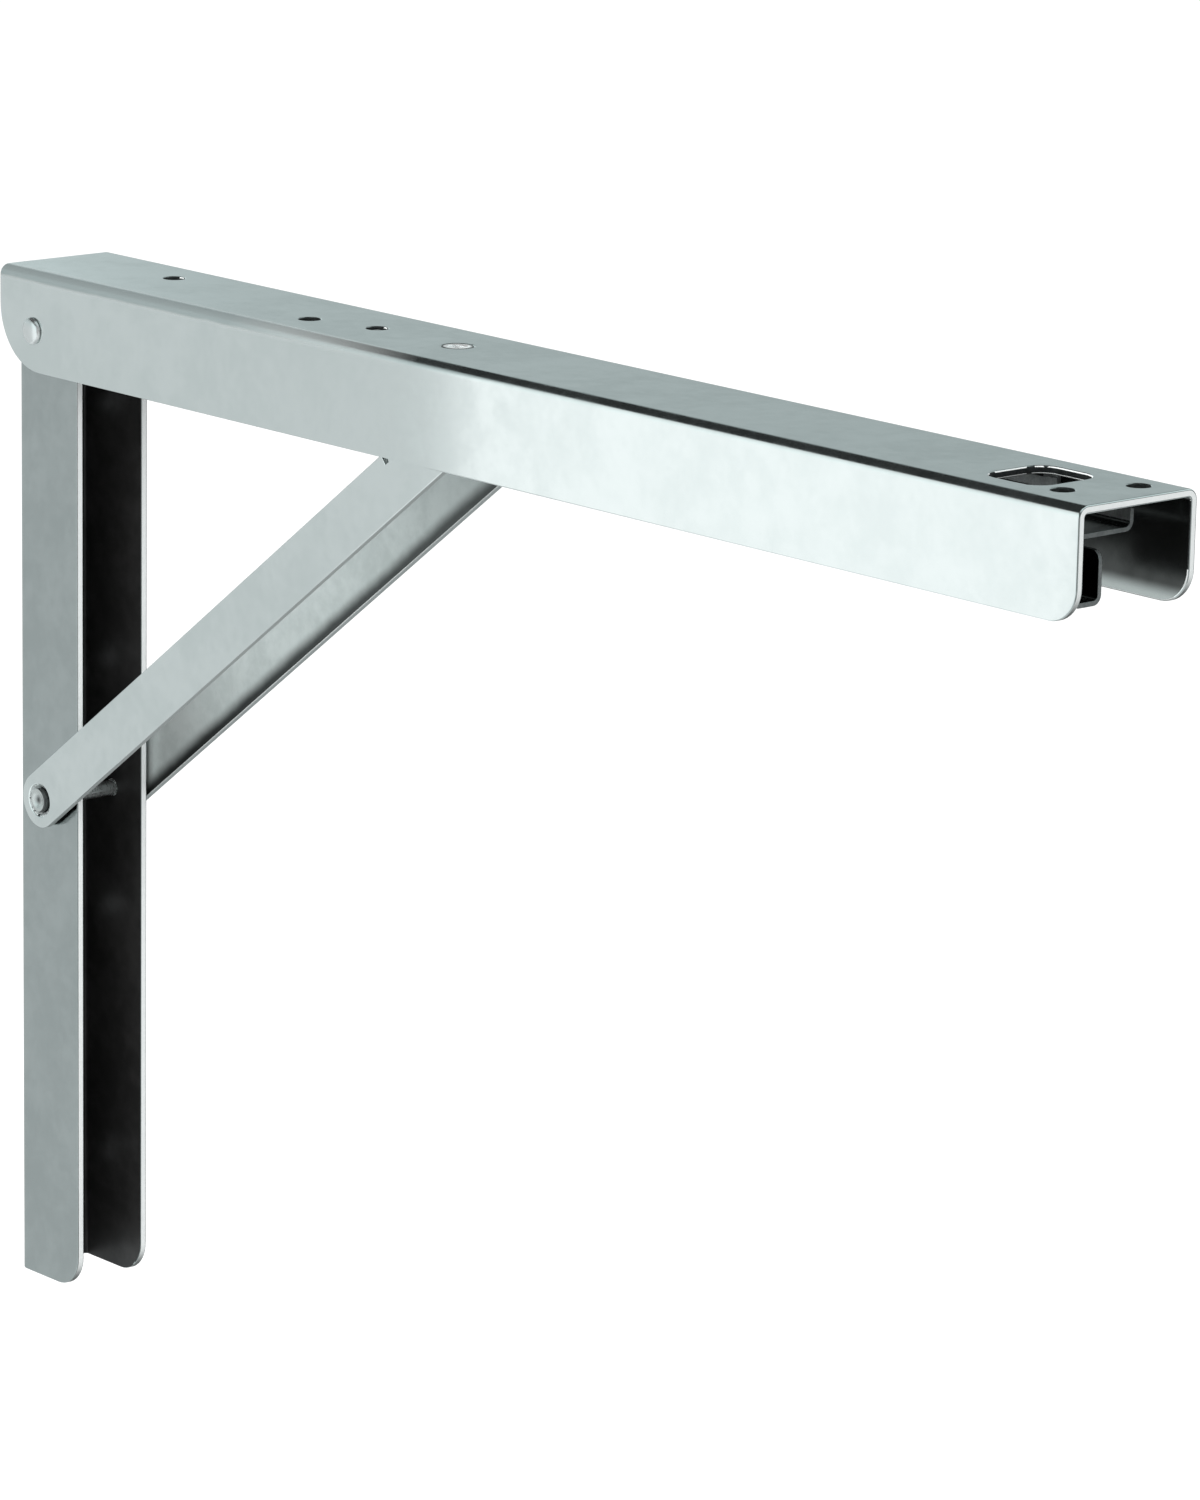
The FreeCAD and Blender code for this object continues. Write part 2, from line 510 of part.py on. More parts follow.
def make_strut():
    """The strut lies along its own X from the pivot, and is then turned up to the arm."""
    body = new_body("strut")
    section = new_sketch(body, "YZ_Plane", "section", "-strut_tail")
    outline(section, channel(STRUT_HALF, STRUT_IN, "-strut_open", "strut_back", "(strut_back - sheet)"))
    pad(body, section, "channel", "strut_tail + strut_length + strut_nose")

    wall = f"({STRUT_HALF} - sheet / 2)"
    end = "(strut_length + strut_nose)"
    sides = [(f"{sign}{wall}", z) for sign in ("", "-") for z in ("strut_back", "-strut_open")]
    tail = [("-strut_tail", y, z) for y, z in sides]
    nose = [(end, y, z) for y, z in sides]

    openings = new_sketch(body, "XY_Plane", "openings", "strut_back")
    for start, stop in (("-strut_tail - sheet", BRIDGE_START), (BRIDGE_END, f"{end} + sheet")):
        outline(openings, [(start, f"-{STRUT_IN}"), (stop, f"-{STRUT_IN}"),
                           (stop, STRUT_IN), (start, STRUT_IN)])
    pocket(body, openings, "web_cut", "sheet")

    slits = new_sketch(body, "XY_Plane", "slits", "strut_back")
    for start, stop in ((f"{BRIDGE_START} - relief_width", BRIDGE_START),
                        (BRIDGE_END, f"{BRIDGE_END} + relief_width")):
        outline(slits, [(start, f"-{STRUT_HALF} - sheet"), (stop, f"-{STRUT_HALF} - sheet"),
                        (stop, f"{STRUT_HALF} + sheet"), (start, f"{STRUT_HALF} + sheet")])
    pocket(body, slits, "relief_slits", "bend_radius")

    middle = f"{BRIDGE_START} + bridge_length / 2"
    outer = [(middle, f"{sign}{STRUT_HALF}", "strut_back") for sign in ("", "-")]
    inner = [(middle, f"{sign}{STRUT_IN}", "strut_back - sheet") for sign in ("", "-")]
    dress(body, "Fillet", "bends", straight_edges(body, X_AXIS, outer), "bend_radius")
    dress(body, "Fillet", "inner_bends", straight_edges(body, X_AXIS, inner), "bend_radius - sheet")
    tail_corner = "(strut_back + strut_open - strut_tail_flat) / 2"
    dress(body, "Fillet", "tail_corners", straight_edges(body, Y_AXIS, tail), tail_corner)
    dress(body, "Fillet", "nose_corners", straight_edges(body, Y_AXIS, nose), "strut_nose_corner")

    seats = new_sketch(body, "XY_Plane", "rivet_seats")
    floor_radius = "(dish_radius + pivot_play)"
    for sign in ("", "-"):
        outline(seats, [("0", f"{sign}{SEAT_FLOOR}"), (floor_radius, f"{sign}{SEAT_FLOOR}"),
                        ("seat_radius", f"{sign}{STRUT_HALF}"),
                        ("seat_radius", f"{sign}({STRUT_HALF} + sheet)"),
                        ("0", f"{sign}({STRUT_HALF} + sheet)")])
    groove(body, seats, "sunk_seats")

    pins = new_sketch(body, "XZ_Plane", "pins")
    circle(pins, "0", "0", "strut_rivet_radius + pivot_play")
    circle(pins, "strut_length", "0", "pin_radius")
    pocket(body, pins, "pin_holes", symmetric=True)

    lean = value(bound(STRUT_ANGLE))
    body.Placement = Placement(Vector(0, 0, 0), Rotation(Vector(0, -1, 0), lean))
    set_out(body, "(-strut_pivot_back)", "-strut_pivot_drop")
    body.setExpression("Placement.Rotation.Angle", bound(STRUT_ANGLE))
    return body


def make_top_pivot_rivet():
    """Shank through both flanges of the arm and the rail, with a domed head at each end."""
    body = new_body("top_pivot_rivet")
    half = new_sketch(body, "XY_Plane", "half_section")
    under = f"({ARM_HALF} + side_play)"
    rise = [(f"dome_radius * {across}", f"{under} + dome_height * {up}") for across, up in DOME]
    corners = [("rivet_radius", under), ("dome_radius", under)] + rise
    top = [("0", f"{under} + dome_height")]
    bottom = [(x, f"-({y})") for x, y in top + corners[::-1]]
    outline(half, bottom + corners + top)
    revolve(body, half, "turned")
    set_out(body)
    return body


def make_strut_pivot_rivet():
    """Shank through the strut and the rail, with a dished head sunk in the strut at each end."""
    body = new_body("strut_pivot_rivet")
    half = new_sketch(body, "XY_Plane", "half_section")
    under = f"({SEAT_FLOOR} + side_play)"
    over = f"({STRUT_HALF} + dish_rise)"
    floor = f"({over} - dish_depth)"
    corners = [("strut_rivet_radius", under), ("dish_radius", under),
               ("dish_radius", f"{over} - dish_bevel"), ("dish_radius - dish_bevel", over),
               (DISH_RIM, over), (DISH_FLAT, floor)]
    top = [("0", floor)]
    bottom = [(x, f"-({y})") for x, y in top + corners[::-1]]
    outline(half, bottom + corners + top)
    revolve(body, half, "turned")
    set_out(body, "(-strut_pivot_back)", "-strut_pivot_drop")
    return body


def make_spacers():
    """A tube inside the rail, bushes between the rail and the arm, washers at the strut."""
    bore = "rivet_radius + pivot_play"
    tube("top_spacer_tube", "0", "0", bore, f"{bore} + tube_wall", f"-{RAIL_IN}", RAIL_IN)
    rim = f"{bore} + 2 * tube_wall"
    tube("top_bush_near", "0", "0", bore, rim, f"side_play - {ARM_IN}", f"-{RAIL_HALF}")
    tube("top_bush_far", "0", "0", bore, rim, RAIL_HALF, f"{ARM_IN} - side_play")
    strut_x, strut_z = "-strut_pivot_back", "-strut_pivot_drop"
    bore = "strut_rivet_radius + pivot_play"
    rim = f"{bore} + 2 * tube_wall"
    tube("strut_washer_near", strut_x, strut_z, bore, rim, f"side_play - {STRUT_IN}", f"-{RAIL_HALF}")
    tube("strut_washer_far", strut_x, strut_z, bore, rim, RAIL_HALF, f"{STRUT_IN} - side_play")


def make_slide_pin():
    body = new_body("slide_pin")
    end = f"({ARM_IN} - pin_end_gap)"
    section = new_sketch(body, "XZ_Plane", "section", f"-{end}")
    circle(section, PIN_X, "-strut_pivot_back", "pin_radius")
    pad(body, section, "shank", f"2 * {end}")
    rims = [edge for sign in ("", "-")
            for edge in round_edges(body, (PIN_X, f"{sign}{end}", "-strut_pivot_back"), "pin_radius")]
    dress(body, "Chamfer", "bevels", rims, "pin_bevel")
    set_out(body)
    return body


def make_guide_channel():
    """Folded guide under the arm's top: its flanges are the track that the slide pin runs under,
    with a stop at each end, and two ears hang from it for the lever pin."""
    body = new_body("guide_channel")
    inner = f"({GUIDE_HALF} - guide_sheet)"
    section = new_sketch(body, "YZ_Plane", "section", GUIDE_REAR)
    outline(section, channel(GUIDE_HALF, inner, "-guide_stop_drop", ARM_CEILING, GUIDE_CEILING))
    pad(body, section, "channel", f"{GUIDE_FRONT} - {GUIDE_REAR}")

    stop_front = f"({PIN_X} - pin_radius - side_play)"
    stop_rear = f"({stop_front} - guide_stop_length)"
    run_end = f"({FOLDED_PIN_X} + pin_radius + front_stop_gap)"
    below = "-(guide_stop_drop + sheet)"
    cuts = new_sketch(body, "XZ_Plane", "flange_cuts")
    outline(cuts, [(f"{GUIDE_REAR} - sheet", below), (stop_rear, below), (stop_rear, GUIDE_CEILING),
                   (f"{GUIDE_REAR} - sheet", GUIDE_CEILING)])
    outline(cuts, [(stop_front, below), (run_end, below), (run_end, TRACK_Z), (stop_front, TRACK_Z)])
    pocket(body, cuts, "track", symmetric=True)

    middle = f"({GUIDE_REAR} + {GUIDE_FRONT}) / 2"
    outer = [(middle, f"{sign}{GUIDE_HALF}", ARM_CEILING) for sign in ("", "-")]
    bends = [(middle, f"{sign}{inner}", GUIDE_CEILING) for sign in ("", "-")]
    dress(body, "Fillet", "bends", straight_edges(body, X_AXIS, outer), "guide_bend")
    dress(body, "Fillet", "inner_bends", straight_edges(body, X_AXIS, bends), "guide_bend - guide_sheet")

    windows = new_sketch(body, "XY_Plane", "ear_windows", ARM_CEILING)
    lobe = "(fulcrum_lobe + ear_gap)"
    for sign in ("", "-"):
        outline(windows, [(f"{FULCRUM_X} - {lobe}", f"{sign}{EAR_IN}"),
                          (f"{FULCRUM_X} + {lobe}", f"{sign}{EAR_IN}"),
                          (f"{FULCRUM_X} + {lobe}", f"{sign}({EAR_IN} - fulcrum_lobe * 2)"),
                          (f"{FULCRUM_X} - {lobe}", f"{sign}({EAR_IN} - fulcrum_lobe * 2)")])
    pocket(body, windows, "lanced_windows", "guide_sheet")

    ears = new_sketch(body, "XZ_Plane", "ears", f"-{EAR_OUT}")
    ear_outline(ears)
    pad(body, ears, "far_ear", "guide_sheet")
    near_ears = new_sketch(body, "XZ_Plane", "near_ears", EAR_IN)
    ear_outline(near_ears)
    pad(body, near_ears, "near_ear", "guide_sheet")

    bore = new_sketch(body, "XZ_Plane", "ear_bore")
    circle(bore, FULCRUM_X, FULCRUM_Z, "fulcrum_radius")
    pocket(body, bore, "ear_bores", f"2 * {EAR_OUT} + guide_sheet", symmetric=True)

    notch = new_sketch(body, "XY_Plane", "front_notch", ARM_CEILING)
    notch_x, past = f"{GUIDE_FRONT} - guide_notch", f"{GUIDE_FRONT} + sheet"
    outline(notch, [(notch_x, f"-{EAR_OUT}"), (past, f"-{EAR_OUT}"), (past, EAR_OUT),
                    (notch_x, EAR_OUT)])
    pocket(body, notch, "notch_cut", "guide_sheet")

    nib = new_sketch(body, "XY_Plane", "nib", ARM_CEILING)
    circle(nib, NIB_X, "0", "nib_radius")
    pad(body, nib, "nib_pad", "nib_height")
    tip = round_edges(body, (NIB_X, "0", f"{ARM_CEILING} + nib_height"), "nib_radius")
    dress(body, "Fillet", "nib_round", tip, "nib_radius / 2")

    hole = new_sketch(body, "XY_Plane", "eyelet_hole", ARM_CEILING)
    circle(hole, EYELET_X, "0", "eyelet_radius + pivot_play")
    pocket(body, hole, "eyelet_cut", "guide_sheet")
    set_out(body)
    return body


def ear_outline(sketch):
    """A tongue that hangs from the guide and ends in a half round about the lever pin."""
    left, right = f"({FULCRUM_X} - fulcrum_lobe)", f"({FULCRUM_X} + fulcrum_lobe)"
    centre = Vector(value(bound(FULCRUM_X)), value(bound(FULCRUM_Z)), 0)
    lobe = value(bound("fulcrum_lobe"))
    ceiling = value(bound(GUIDE_CEILING))
    arc = Part.ArcOfCircle(Part.Circle(centre, Z_AXIS, lobe), math.pi, 2 * math.pi)
    sketch.addGeometry(arc, False)
    low_right, low_left = centre + X_AXIS * lobe, centre - X_AXIS * lobe
    high_right = Vector(low_right.x, ceiling, 0)
    high_left = Vector(low_left.x, ceiling, 0)
    for start, end in ((low_right, high_right), (high_right, high_left), (high_left, low_left)):
        sketch.addGeometry(Part.LineSegment(start, end), False)
    for one, two in (((0, 2), (1, 1)), ((1, 2), (2, 1)), ((2, 2), (3, 1)), ((3, 2), (0, 1))):
        sketch.addConstraint(Sketcher.Constraint("Coincident", *one, *two))
    hold(sketch, "DistanceX", 0, 3, FULCRUM_X)
    hold(sketch, "DistanceY", 0, 3, FULCRUM_Z)
    hold(sketch, "DistanceX", 0, 1, left)
    hold(sketch, "DistanceY", 0, 1, FULCRUM_Z)
    hold(sketch, "DistanceY", 0, 2, FULCRUM_Z)
    hold(sketch, "DistanceX", 1, 2, right)
    hold(sketch, "DistanceY", 1, 2, GUIDE_CEILING)
    hold(sketch, "DistanceX", 2, 2, left)
    hold(sketch, "DistanceY", 2, 2, GUIDE_CEILING)


def make_guide_rivet():
    """Eyelet that holds the guide to the arm: a sunk flange above, a flared foot below."""
    body = new_body("guide_rivet")
    half = new_sketch(body, "XZ_Plane", "half_section")
    rim = "(arm_top - side_play / 2)"
    foot = f"({GUIDE_CEILING} - eyelet_foot)"
    outline(half, [("eyelet_bore", foot), ("eyelet_flange", foot), ("eyelet_flange", GUIDE_CEILING),
                   ("eyelet_radius", GUIDE_CEILING), ("eyelet_radius", "arm_top - eyelet_flange_depth"),
                   ("eyelet_flange", rim), ("eyelet_bore + pin_bevel", rim),
                   ("eyelet_bore", f"{rim} - pin_bevel")])
    revolve(body, half, "flared")
    set_out(body, EYELET_X)
    return body


def make_release_lever():
    """One folded sheet: a channel open at its top, whose near side turns down at the front
    and curls under into a finger hook."""
    body = new_body("release_lever")
    tab_rear = f"({LEVER_FRONT} - hook_tab_length)"
    relief = f"({tab_rear} - relief_width)"
    half, inner, floor, deck = LEVER_HALF, LEVER_IN, LEVER_FLOOR, LEVER_DECK

    section = new_sketch(body, "YZ_Plane", "section", LEVER_REAR)
    outline(section, channel(half, inner, LEVER_TOP, floor, deck))
    pad(body, section, "channel", f"{LEVER_FRONT} - {LEVER_REAR}")

    clear = new_sketch(body, "XZ_Plane", "near_side_cut", inner)
    past, above = f"{LEVER_FRONT} + sheet", f"{LEVER_TOP} + sheet"
    outline(clear, [(relief, deck), (past, deck), (past, above), (relief, above)])
    pocket(body, clear, "near_side_off", "2 * lever_sheet", backwards=True)
    slit = new_sketch(body, "XY_Plane", "relief_slit", LEVER_TOP)
    outline(slit, [(relief, f"-{half} - sheet"), (tab_rear, f"-{half} - sheet"),
                   (tab_rear, f"lever_bend - {half}"), (relief, f"lever_bend - {half}")])
    pocket(body, slit, "relief_slit_cut")

    low = "(hook_tab_rise - arm_drop)"
    high = f"({low} + lever_sheet)"
    far, near_face = "-hook_tab_inner", "(-hook_tab_inner - lever_sheet)"
    hook = new_sketch(body, "YZ_Plane", "finger_hook", tab_rear)
    outline(hook, [(f"-{half}", deck), (f"-{half}", low), (far, low), (far, "hook_tab_top"),
                   (near_face, "hook_tab_top"), (near_face, high), (f"-{inner}", high),
                   (f"-{inner}", floor), (f"-{inner} + lever_sheet", floor),
                   (f"-{inner} + lever_sheet", deck)])
    pad(body, hook, "finger_hook_pad", "hook_tab_length")

    rear_x, tab_x = f"{LEVER_REAR} + hook_tab_length", f"{LEVER_FRONT} - hook_tab_length / 2"
    outer = [(rear_x, half, floor), (rear_x, f"-{half}", floor), (tab_x, f"-{half}", deck),
             (tab_x, f"-{half}", low), (tab_x, far, low)]
    bends = [(rear_x, inner, deck), (rear_x, f"-{inner}", deck), (tab_x, f"-{inner}", floor),
             (tab_x, f"-{inner}", high), (tab_x, near_face, high)]
    dress(body, "Fillet", "bends", straight_edges(body, X_AXIS, outer), "lever_bend")
    dress(body, "Fillet", "inner_bends", straight_edges(body, X_AXIS, bends), "lever_bend - lever_sheet")
    tips = [(x, "-hook_tab_inner - lever_sheet / 2", "hook_tab_top") for x in (LEVER_FRONT, tab_rear)]
    dress(body, "Fillet", "hook_corners", straight_edges(body, Y_AXIS, tips), "hook_tab_corner")

    for side, offset in (("far", f"-{half}"), ("near", inner)):
        lobe = new_sketch(body, "XZ_Plane", f"{side}_lobe", offset)
        circle(lobe, FULCRUM_X, FULCRUM_Z, "fulcrum_lobe")
        pad(body, lobe, f"{side}_lobe_pad", "lever_sheet")
    bore = new_sketch(body, "XZ_Plane", "bore")
    circle(bore, FULCRUM_X, FULCRUM_Z, "fulcrum_radius + pivot_play")
    pocket(body, bore, "bores", f"2 * {half} + lever_sheet", symmetric=True)

    rivets = new_sketch(body, "XY_Plane", "rivet_holes", deck)
    circle(rivets, LATCH_RIVET_X, "0", "latch_rivet_radius")
    circle(rivets, f"{LATCH_RIVET_X} + latch_rivet_step", "0", "latch_rivet_radius")
    pocket(body, rivets, "rivet_cut", "lever_sheet")
    set_out(body)
    return body


def make_latch_hook():
    """Folded plate riveted on the lever's rear end: its two noses drop in front of the roller."""
    body = new_body("latch_hook")
    top = f"({LEVER_DECK} + latch_sheet)"
    inner = f"({LATCH_HALF} - latch_sheet)"
    nose_low = f"({ROLLER_TOP} + ear_gap)"
    throat = f"({ROLLER_TOP} + latch_lift + latch_gap)"
    nose_end = f"({LATCH_NOSE_X} + latch_nose)"
    section = new_sketch(body, "YZ_Plane", "section", LATCH_REAR)
    outline(section, channel(LATCH_HALF, inner, nose_low, top, LEVER_DECK))
    pad(body, section, "channel", f"{LATCH_FRONT} - {LATCH_REAR}")

    legs = new_sketch(body, "XZ_Plane", "leg_cuts")
    behind, below = f"{LATCH_REAR} - sheet", f"{nose_low} - sheet"
    outline(legs, [(behind, below), (LATCH_NOSE_X, below), (LATCH_NOSE_X, throat), (behind, throat)])
    pocket(body, legs, "throat", symmetric=True)

    sides = new_sketch(body, "XY_Plane", "side_cuts", top)
    for sign in ("", "-"):
        outline(sides, [(nose_end, f"{sign}{inner}"), (f"{LATCH_FRONT} + sheet", f"{sign}{inner}"),
                        (f"{LATCH_FRONT} + sheet", f"{sign}{LATCH_HALF} + {sign}sheet"),
                        (nose_end, f"{sign}{LATCH_HALF} + {sign}sheet")])
    pocket(body, sides, "tongue")

    bend_x = f"({LATCH_REAR} + {LATCH_NOSE_X}) / 2"
    outer = [(bend_x, f"{sign}{LATCH_HALF}", top) for sign in ("", "-")]
    dress(body, "Fillet", "bends", straight_edges(body, X_AXIS, outer), "latch_sheet")
    wall = f"({LATCH_HALF} - latch_sheet / 2)"
    tips = [(nose_end, f"{sign}{wall}", nose_low) for sign in ("", "-")]
    dress(body, "Fillet", "nose_ramps", straight_edges(body, Y_AXIS, tips), "latch_nose / 2")

    rivets = new_sketch(body, "XY_Plane", "rivet_holes", top)
    circle(rivets, LATCH_RIVET_X, "0", "latch_rivet_radius")
    circle(rivets, f"{LATCH_RIVET_X} + latch_rivet_step", "0", "latch_rivet_radius")
    pocket(body, rivets, "rivet_cut", "latch_sheet")
    set_out(body)
    return body


def make_latch_rivets():
    """Two round-headed rivets through the latch hook and the lever, as one piece of two solids."""
    low, high = LEVER_FLOOR, f"({LEVER_DECK} + latch_sheet)"
    parts = []
    for number, shift in ((1, "0"), (2, "latch_rivet_step")):
        shank = doc.addObject("Part::Cylinder", f"latch_rivet_shank_{number}")
        shank.setExpression("Radius", bound("latch_rivet_radius"))
        shank.setExpression("Height", bound(f"{high} - {low} + latch_rivet_cap"))
        shank.setExpression("Placement.Base.z", bound(f"{low} - latch_rivet_cap / 2"))
        heads = [shank]
        for side, height in (("low", f"{low} - latch_rivet_cap"), ("high", high)):
            head = doc.addObject("Part::Cone", f"latch_rivet_{side}_head_{number}")
            wide, narrow = "latch_rivet_head", "latch_rivet_radius"
            head.setExpression("Radius1", bound(narrow if side == "low" else wide))
            head.setExpression("Radius2", bound(wide if side == "low" else narrow))
            head.setExpression("Height", bound("latch_rivet_cap"))
            head.setExpression("Placement.Base.z", bound(height))
            heads.append(head)
        for piece in heads:
            piece.setExpression("Placement.Base.x", bound(f"{LATCH_RIVET_X} + {shift}"))
        rivet = doc.addObject("Part::MultiFuse", f"latch_rivet_{number}")
        rivet.Shapes = heads
        parts.append(rivet)
    pair = doc.addObject("Part::Compound", "latch_rivets")
    pair.Links = parts
    set_out(pair)
    doc.recompute()
    return pair


def make_lever_pin():
    body = new_body("lever_pin")
    half = new_sketch(body, "XY_Plane", "half_section")
    under = f"({EAR_OUT} + pivot_play)"
    over = f"({EAR_OUT} + pivot_play + pin_head_height)"
    outline(half, [("0", f"-{over}"), ("pin_head_radius", f"-{over}"), ("pin_head_radius", f"-{under}"),
                   ("fulcrum_radius", f"-{under}"), ("fulcrum_radius", under),
                   ("pin_head_radius", under), ("pin_head_radius", over), ("0", over)])
    revolve(body, half, "turned")
    rims = [edge for sign in ("", "-")
            for edge in round_edges(body, ("0", f"{sign}{over}", "0"), "pin_head_radius")]
    dress(body, "Chamfer", "heads", rims, "pin_head_height / 2")
    set_out(body, FULCRUM_X, FULCRUM_Z)
    return body


def make_lever_spring():
    """Torsion spring on the lever pin: one leg on the lever, the other under the guide.
    Its wire runs straight from each bend of the coil to the next."""
    wire, pitch, turns = (value(bound(name)) for name in ("wire_radius", "coil_pitch", "coil_turns"))
    leg, rise = value(bound("spring_leg")), math.radians(value(bound("spring_leg_rise")))
    radius = value(bound("fulcrum_radius + coil_gap + wire_radius"))
    turned = turns * 2 * math.pi - rise
    height = pitch * turned / (2 * math.pi)
    bends = math.ceil(value(bound("coil_bends")) * turns)
    steps = [turned * number / bends for number in range(bends + 1)]
    points = [Vector(radius * math.cos(angle), radius * math.sin(angle), height * angle / turned)
              for angle in steps]
    low_leg = points[0] - Y_AXIS * leg
    high_leg = points[-1] + Vector(-math.sin(turned), math.cos(turned), 0) * leg
    path = Part.makePolygon([low_leg] + points + [high_leg])
    ring = Part.Wire([Part.makeCircle(wire, low_leg, Y_AXIS)])
    solid = path.makePipeShell([ring], True, True, MITRED_BENDS)

    spring = doc.addObject("Part::Feature", "lever_spring")
    spring.Shape = solid
    across = Rotation(X_AXIS, 90)
    first_leg_back = Rotation(Y_AXIS, 90)
    middle = Vector(value(bound(f"rail_back + {FULCRUM_X}")), height / 2, value(bound(FULCRUM_Z)))
    spring.Placement = Placement(middle, first_leg_back.multiply(across))
    return spring


def check_and_write():
    """Stop if any object failed, then write one file for each piece."""
    for item in doc.Objects:
        if "Invalid" in item.State or "Error" in item.State:
            raise RuntimeError(f"{item.Name} failed: {item.State}")
    os.makedirs("parts", exist_ok=True)
    for name in PIECES:
        piece = doc.getObject(name)
        if piece is None or piece.Shape.isNull() or not piece.Shape.isValid():
            raise RuntimeError(f"{name} has no valid shape")
    for name in PIECES:
        shape = doc.getObject(name).Shape
        shape.exportStep(f"parts/{name}.step")
        box = shape.BoundBox
        print(f"{name:20s} solids {len(shape.Solids)} volume {shape.Volume:9.1f}"
              f"  X {box.XMin:7.2f} {box.XMax:7.2f}  Y {box.YMin:7.2f} {box.YMax:7.2f}"
              f"  Z {box.ZMin:8.2f} {box.ZMax:7.2f}")


PIECES = (
    "arm", "wall_rail", "strut", "top_pivot_rivet", "strut_pivot_rivet", "top_spacer_tube",
    "top_bush_near", "top_bush_far", "strut_washer_near", "strut_washer_far", "slide_pin",
    "latch_roller", "guide_channel", "guide_rivet", "release_lever", "latch_hook", "latch_rivets",
    "lever_pin", "lever_spring",
)

make_arm()
make_wall_rail()
make_strut()
make_top_pivot_rivet()
make_strut_pivot_rivet()
make_spacers()
make_slide_pin()
tube("latch_roller", PIN_X, "-strut_pivot_back", "pin_radius + pivot_play", "roller_radius",
     f"side_play - {STRUT_IN}", f"{STRUT_IN} - side_play")
make_guide_channel()
make_guide_rivet()
make_release_lever()
make_latch_hook()
make_latch_rivets()
make_lever_pin()
make_lever_spring()
doc.recompute()
check_and_write()
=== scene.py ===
"""Drop leaf table bracket: wall rail, folding arm, strut and latch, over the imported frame."""

from __future__ import annotations

import logging
import math
from dataclasses import dataclass, field
from enum import Enum, IntEnum

import bmesh
import bpy
from mathutils import Matrix, Vector
from mathutils.bvhtree import BVHTree


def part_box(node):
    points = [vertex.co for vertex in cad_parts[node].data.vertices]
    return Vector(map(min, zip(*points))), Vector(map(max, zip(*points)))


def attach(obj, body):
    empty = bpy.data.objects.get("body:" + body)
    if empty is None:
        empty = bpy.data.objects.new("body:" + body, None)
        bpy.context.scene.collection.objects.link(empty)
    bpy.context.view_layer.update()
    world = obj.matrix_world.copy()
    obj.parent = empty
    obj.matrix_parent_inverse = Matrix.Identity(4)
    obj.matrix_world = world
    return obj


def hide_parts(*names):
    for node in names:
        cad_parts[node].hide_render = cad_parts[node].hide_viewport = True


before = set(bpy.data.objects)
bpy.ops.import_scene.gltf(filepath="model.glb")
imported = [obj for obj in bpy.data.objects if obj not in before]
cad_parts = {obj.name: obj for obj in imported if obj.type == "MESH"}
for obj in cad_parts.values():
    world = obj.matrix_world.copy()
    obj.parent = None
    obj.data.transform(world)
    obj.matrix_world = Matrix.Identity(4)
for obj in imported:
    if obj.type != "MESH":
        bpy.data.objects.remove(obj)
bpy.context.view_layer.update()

log = logging.getLogger("drop_leaf_bracket")

MILLIMETRE = 0.001

# What stays of a place that is looked at along Y or along Z, and the way down.
ACROSS_Y = (1.0, 0.0, 1.0)
ACROSS_Z = (1.0, 1.0, 0.0)
DOWN = (0.0, 0.0, -1.0)

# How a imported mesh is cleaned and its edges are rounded.
WELD_DISTANCE = MILLIMETRE / 1000
SKIN_DEPTH = MILLIMETRE / 100
FLAT_ANGLE = math.radians(0.2)
SHARP_ANGLE = math.radians(40)
ROUNDING_STEPS = 2
FACE_WEIGHT = 100

# The part of a noise's range that counts, and how far lines and rings are drawn out.
NOISE_RANGE = (0.3, 0.7)
TONE_RANGE = (0.35, 0.65)
ROLLED_LINE = 0.12
TURNED_RING = 0.1

Colour = tuple[float, float, float]
Triple = tuple[float, float, float]
Socket = bpy.types.NodeSocket
Material = bpy.types.Material


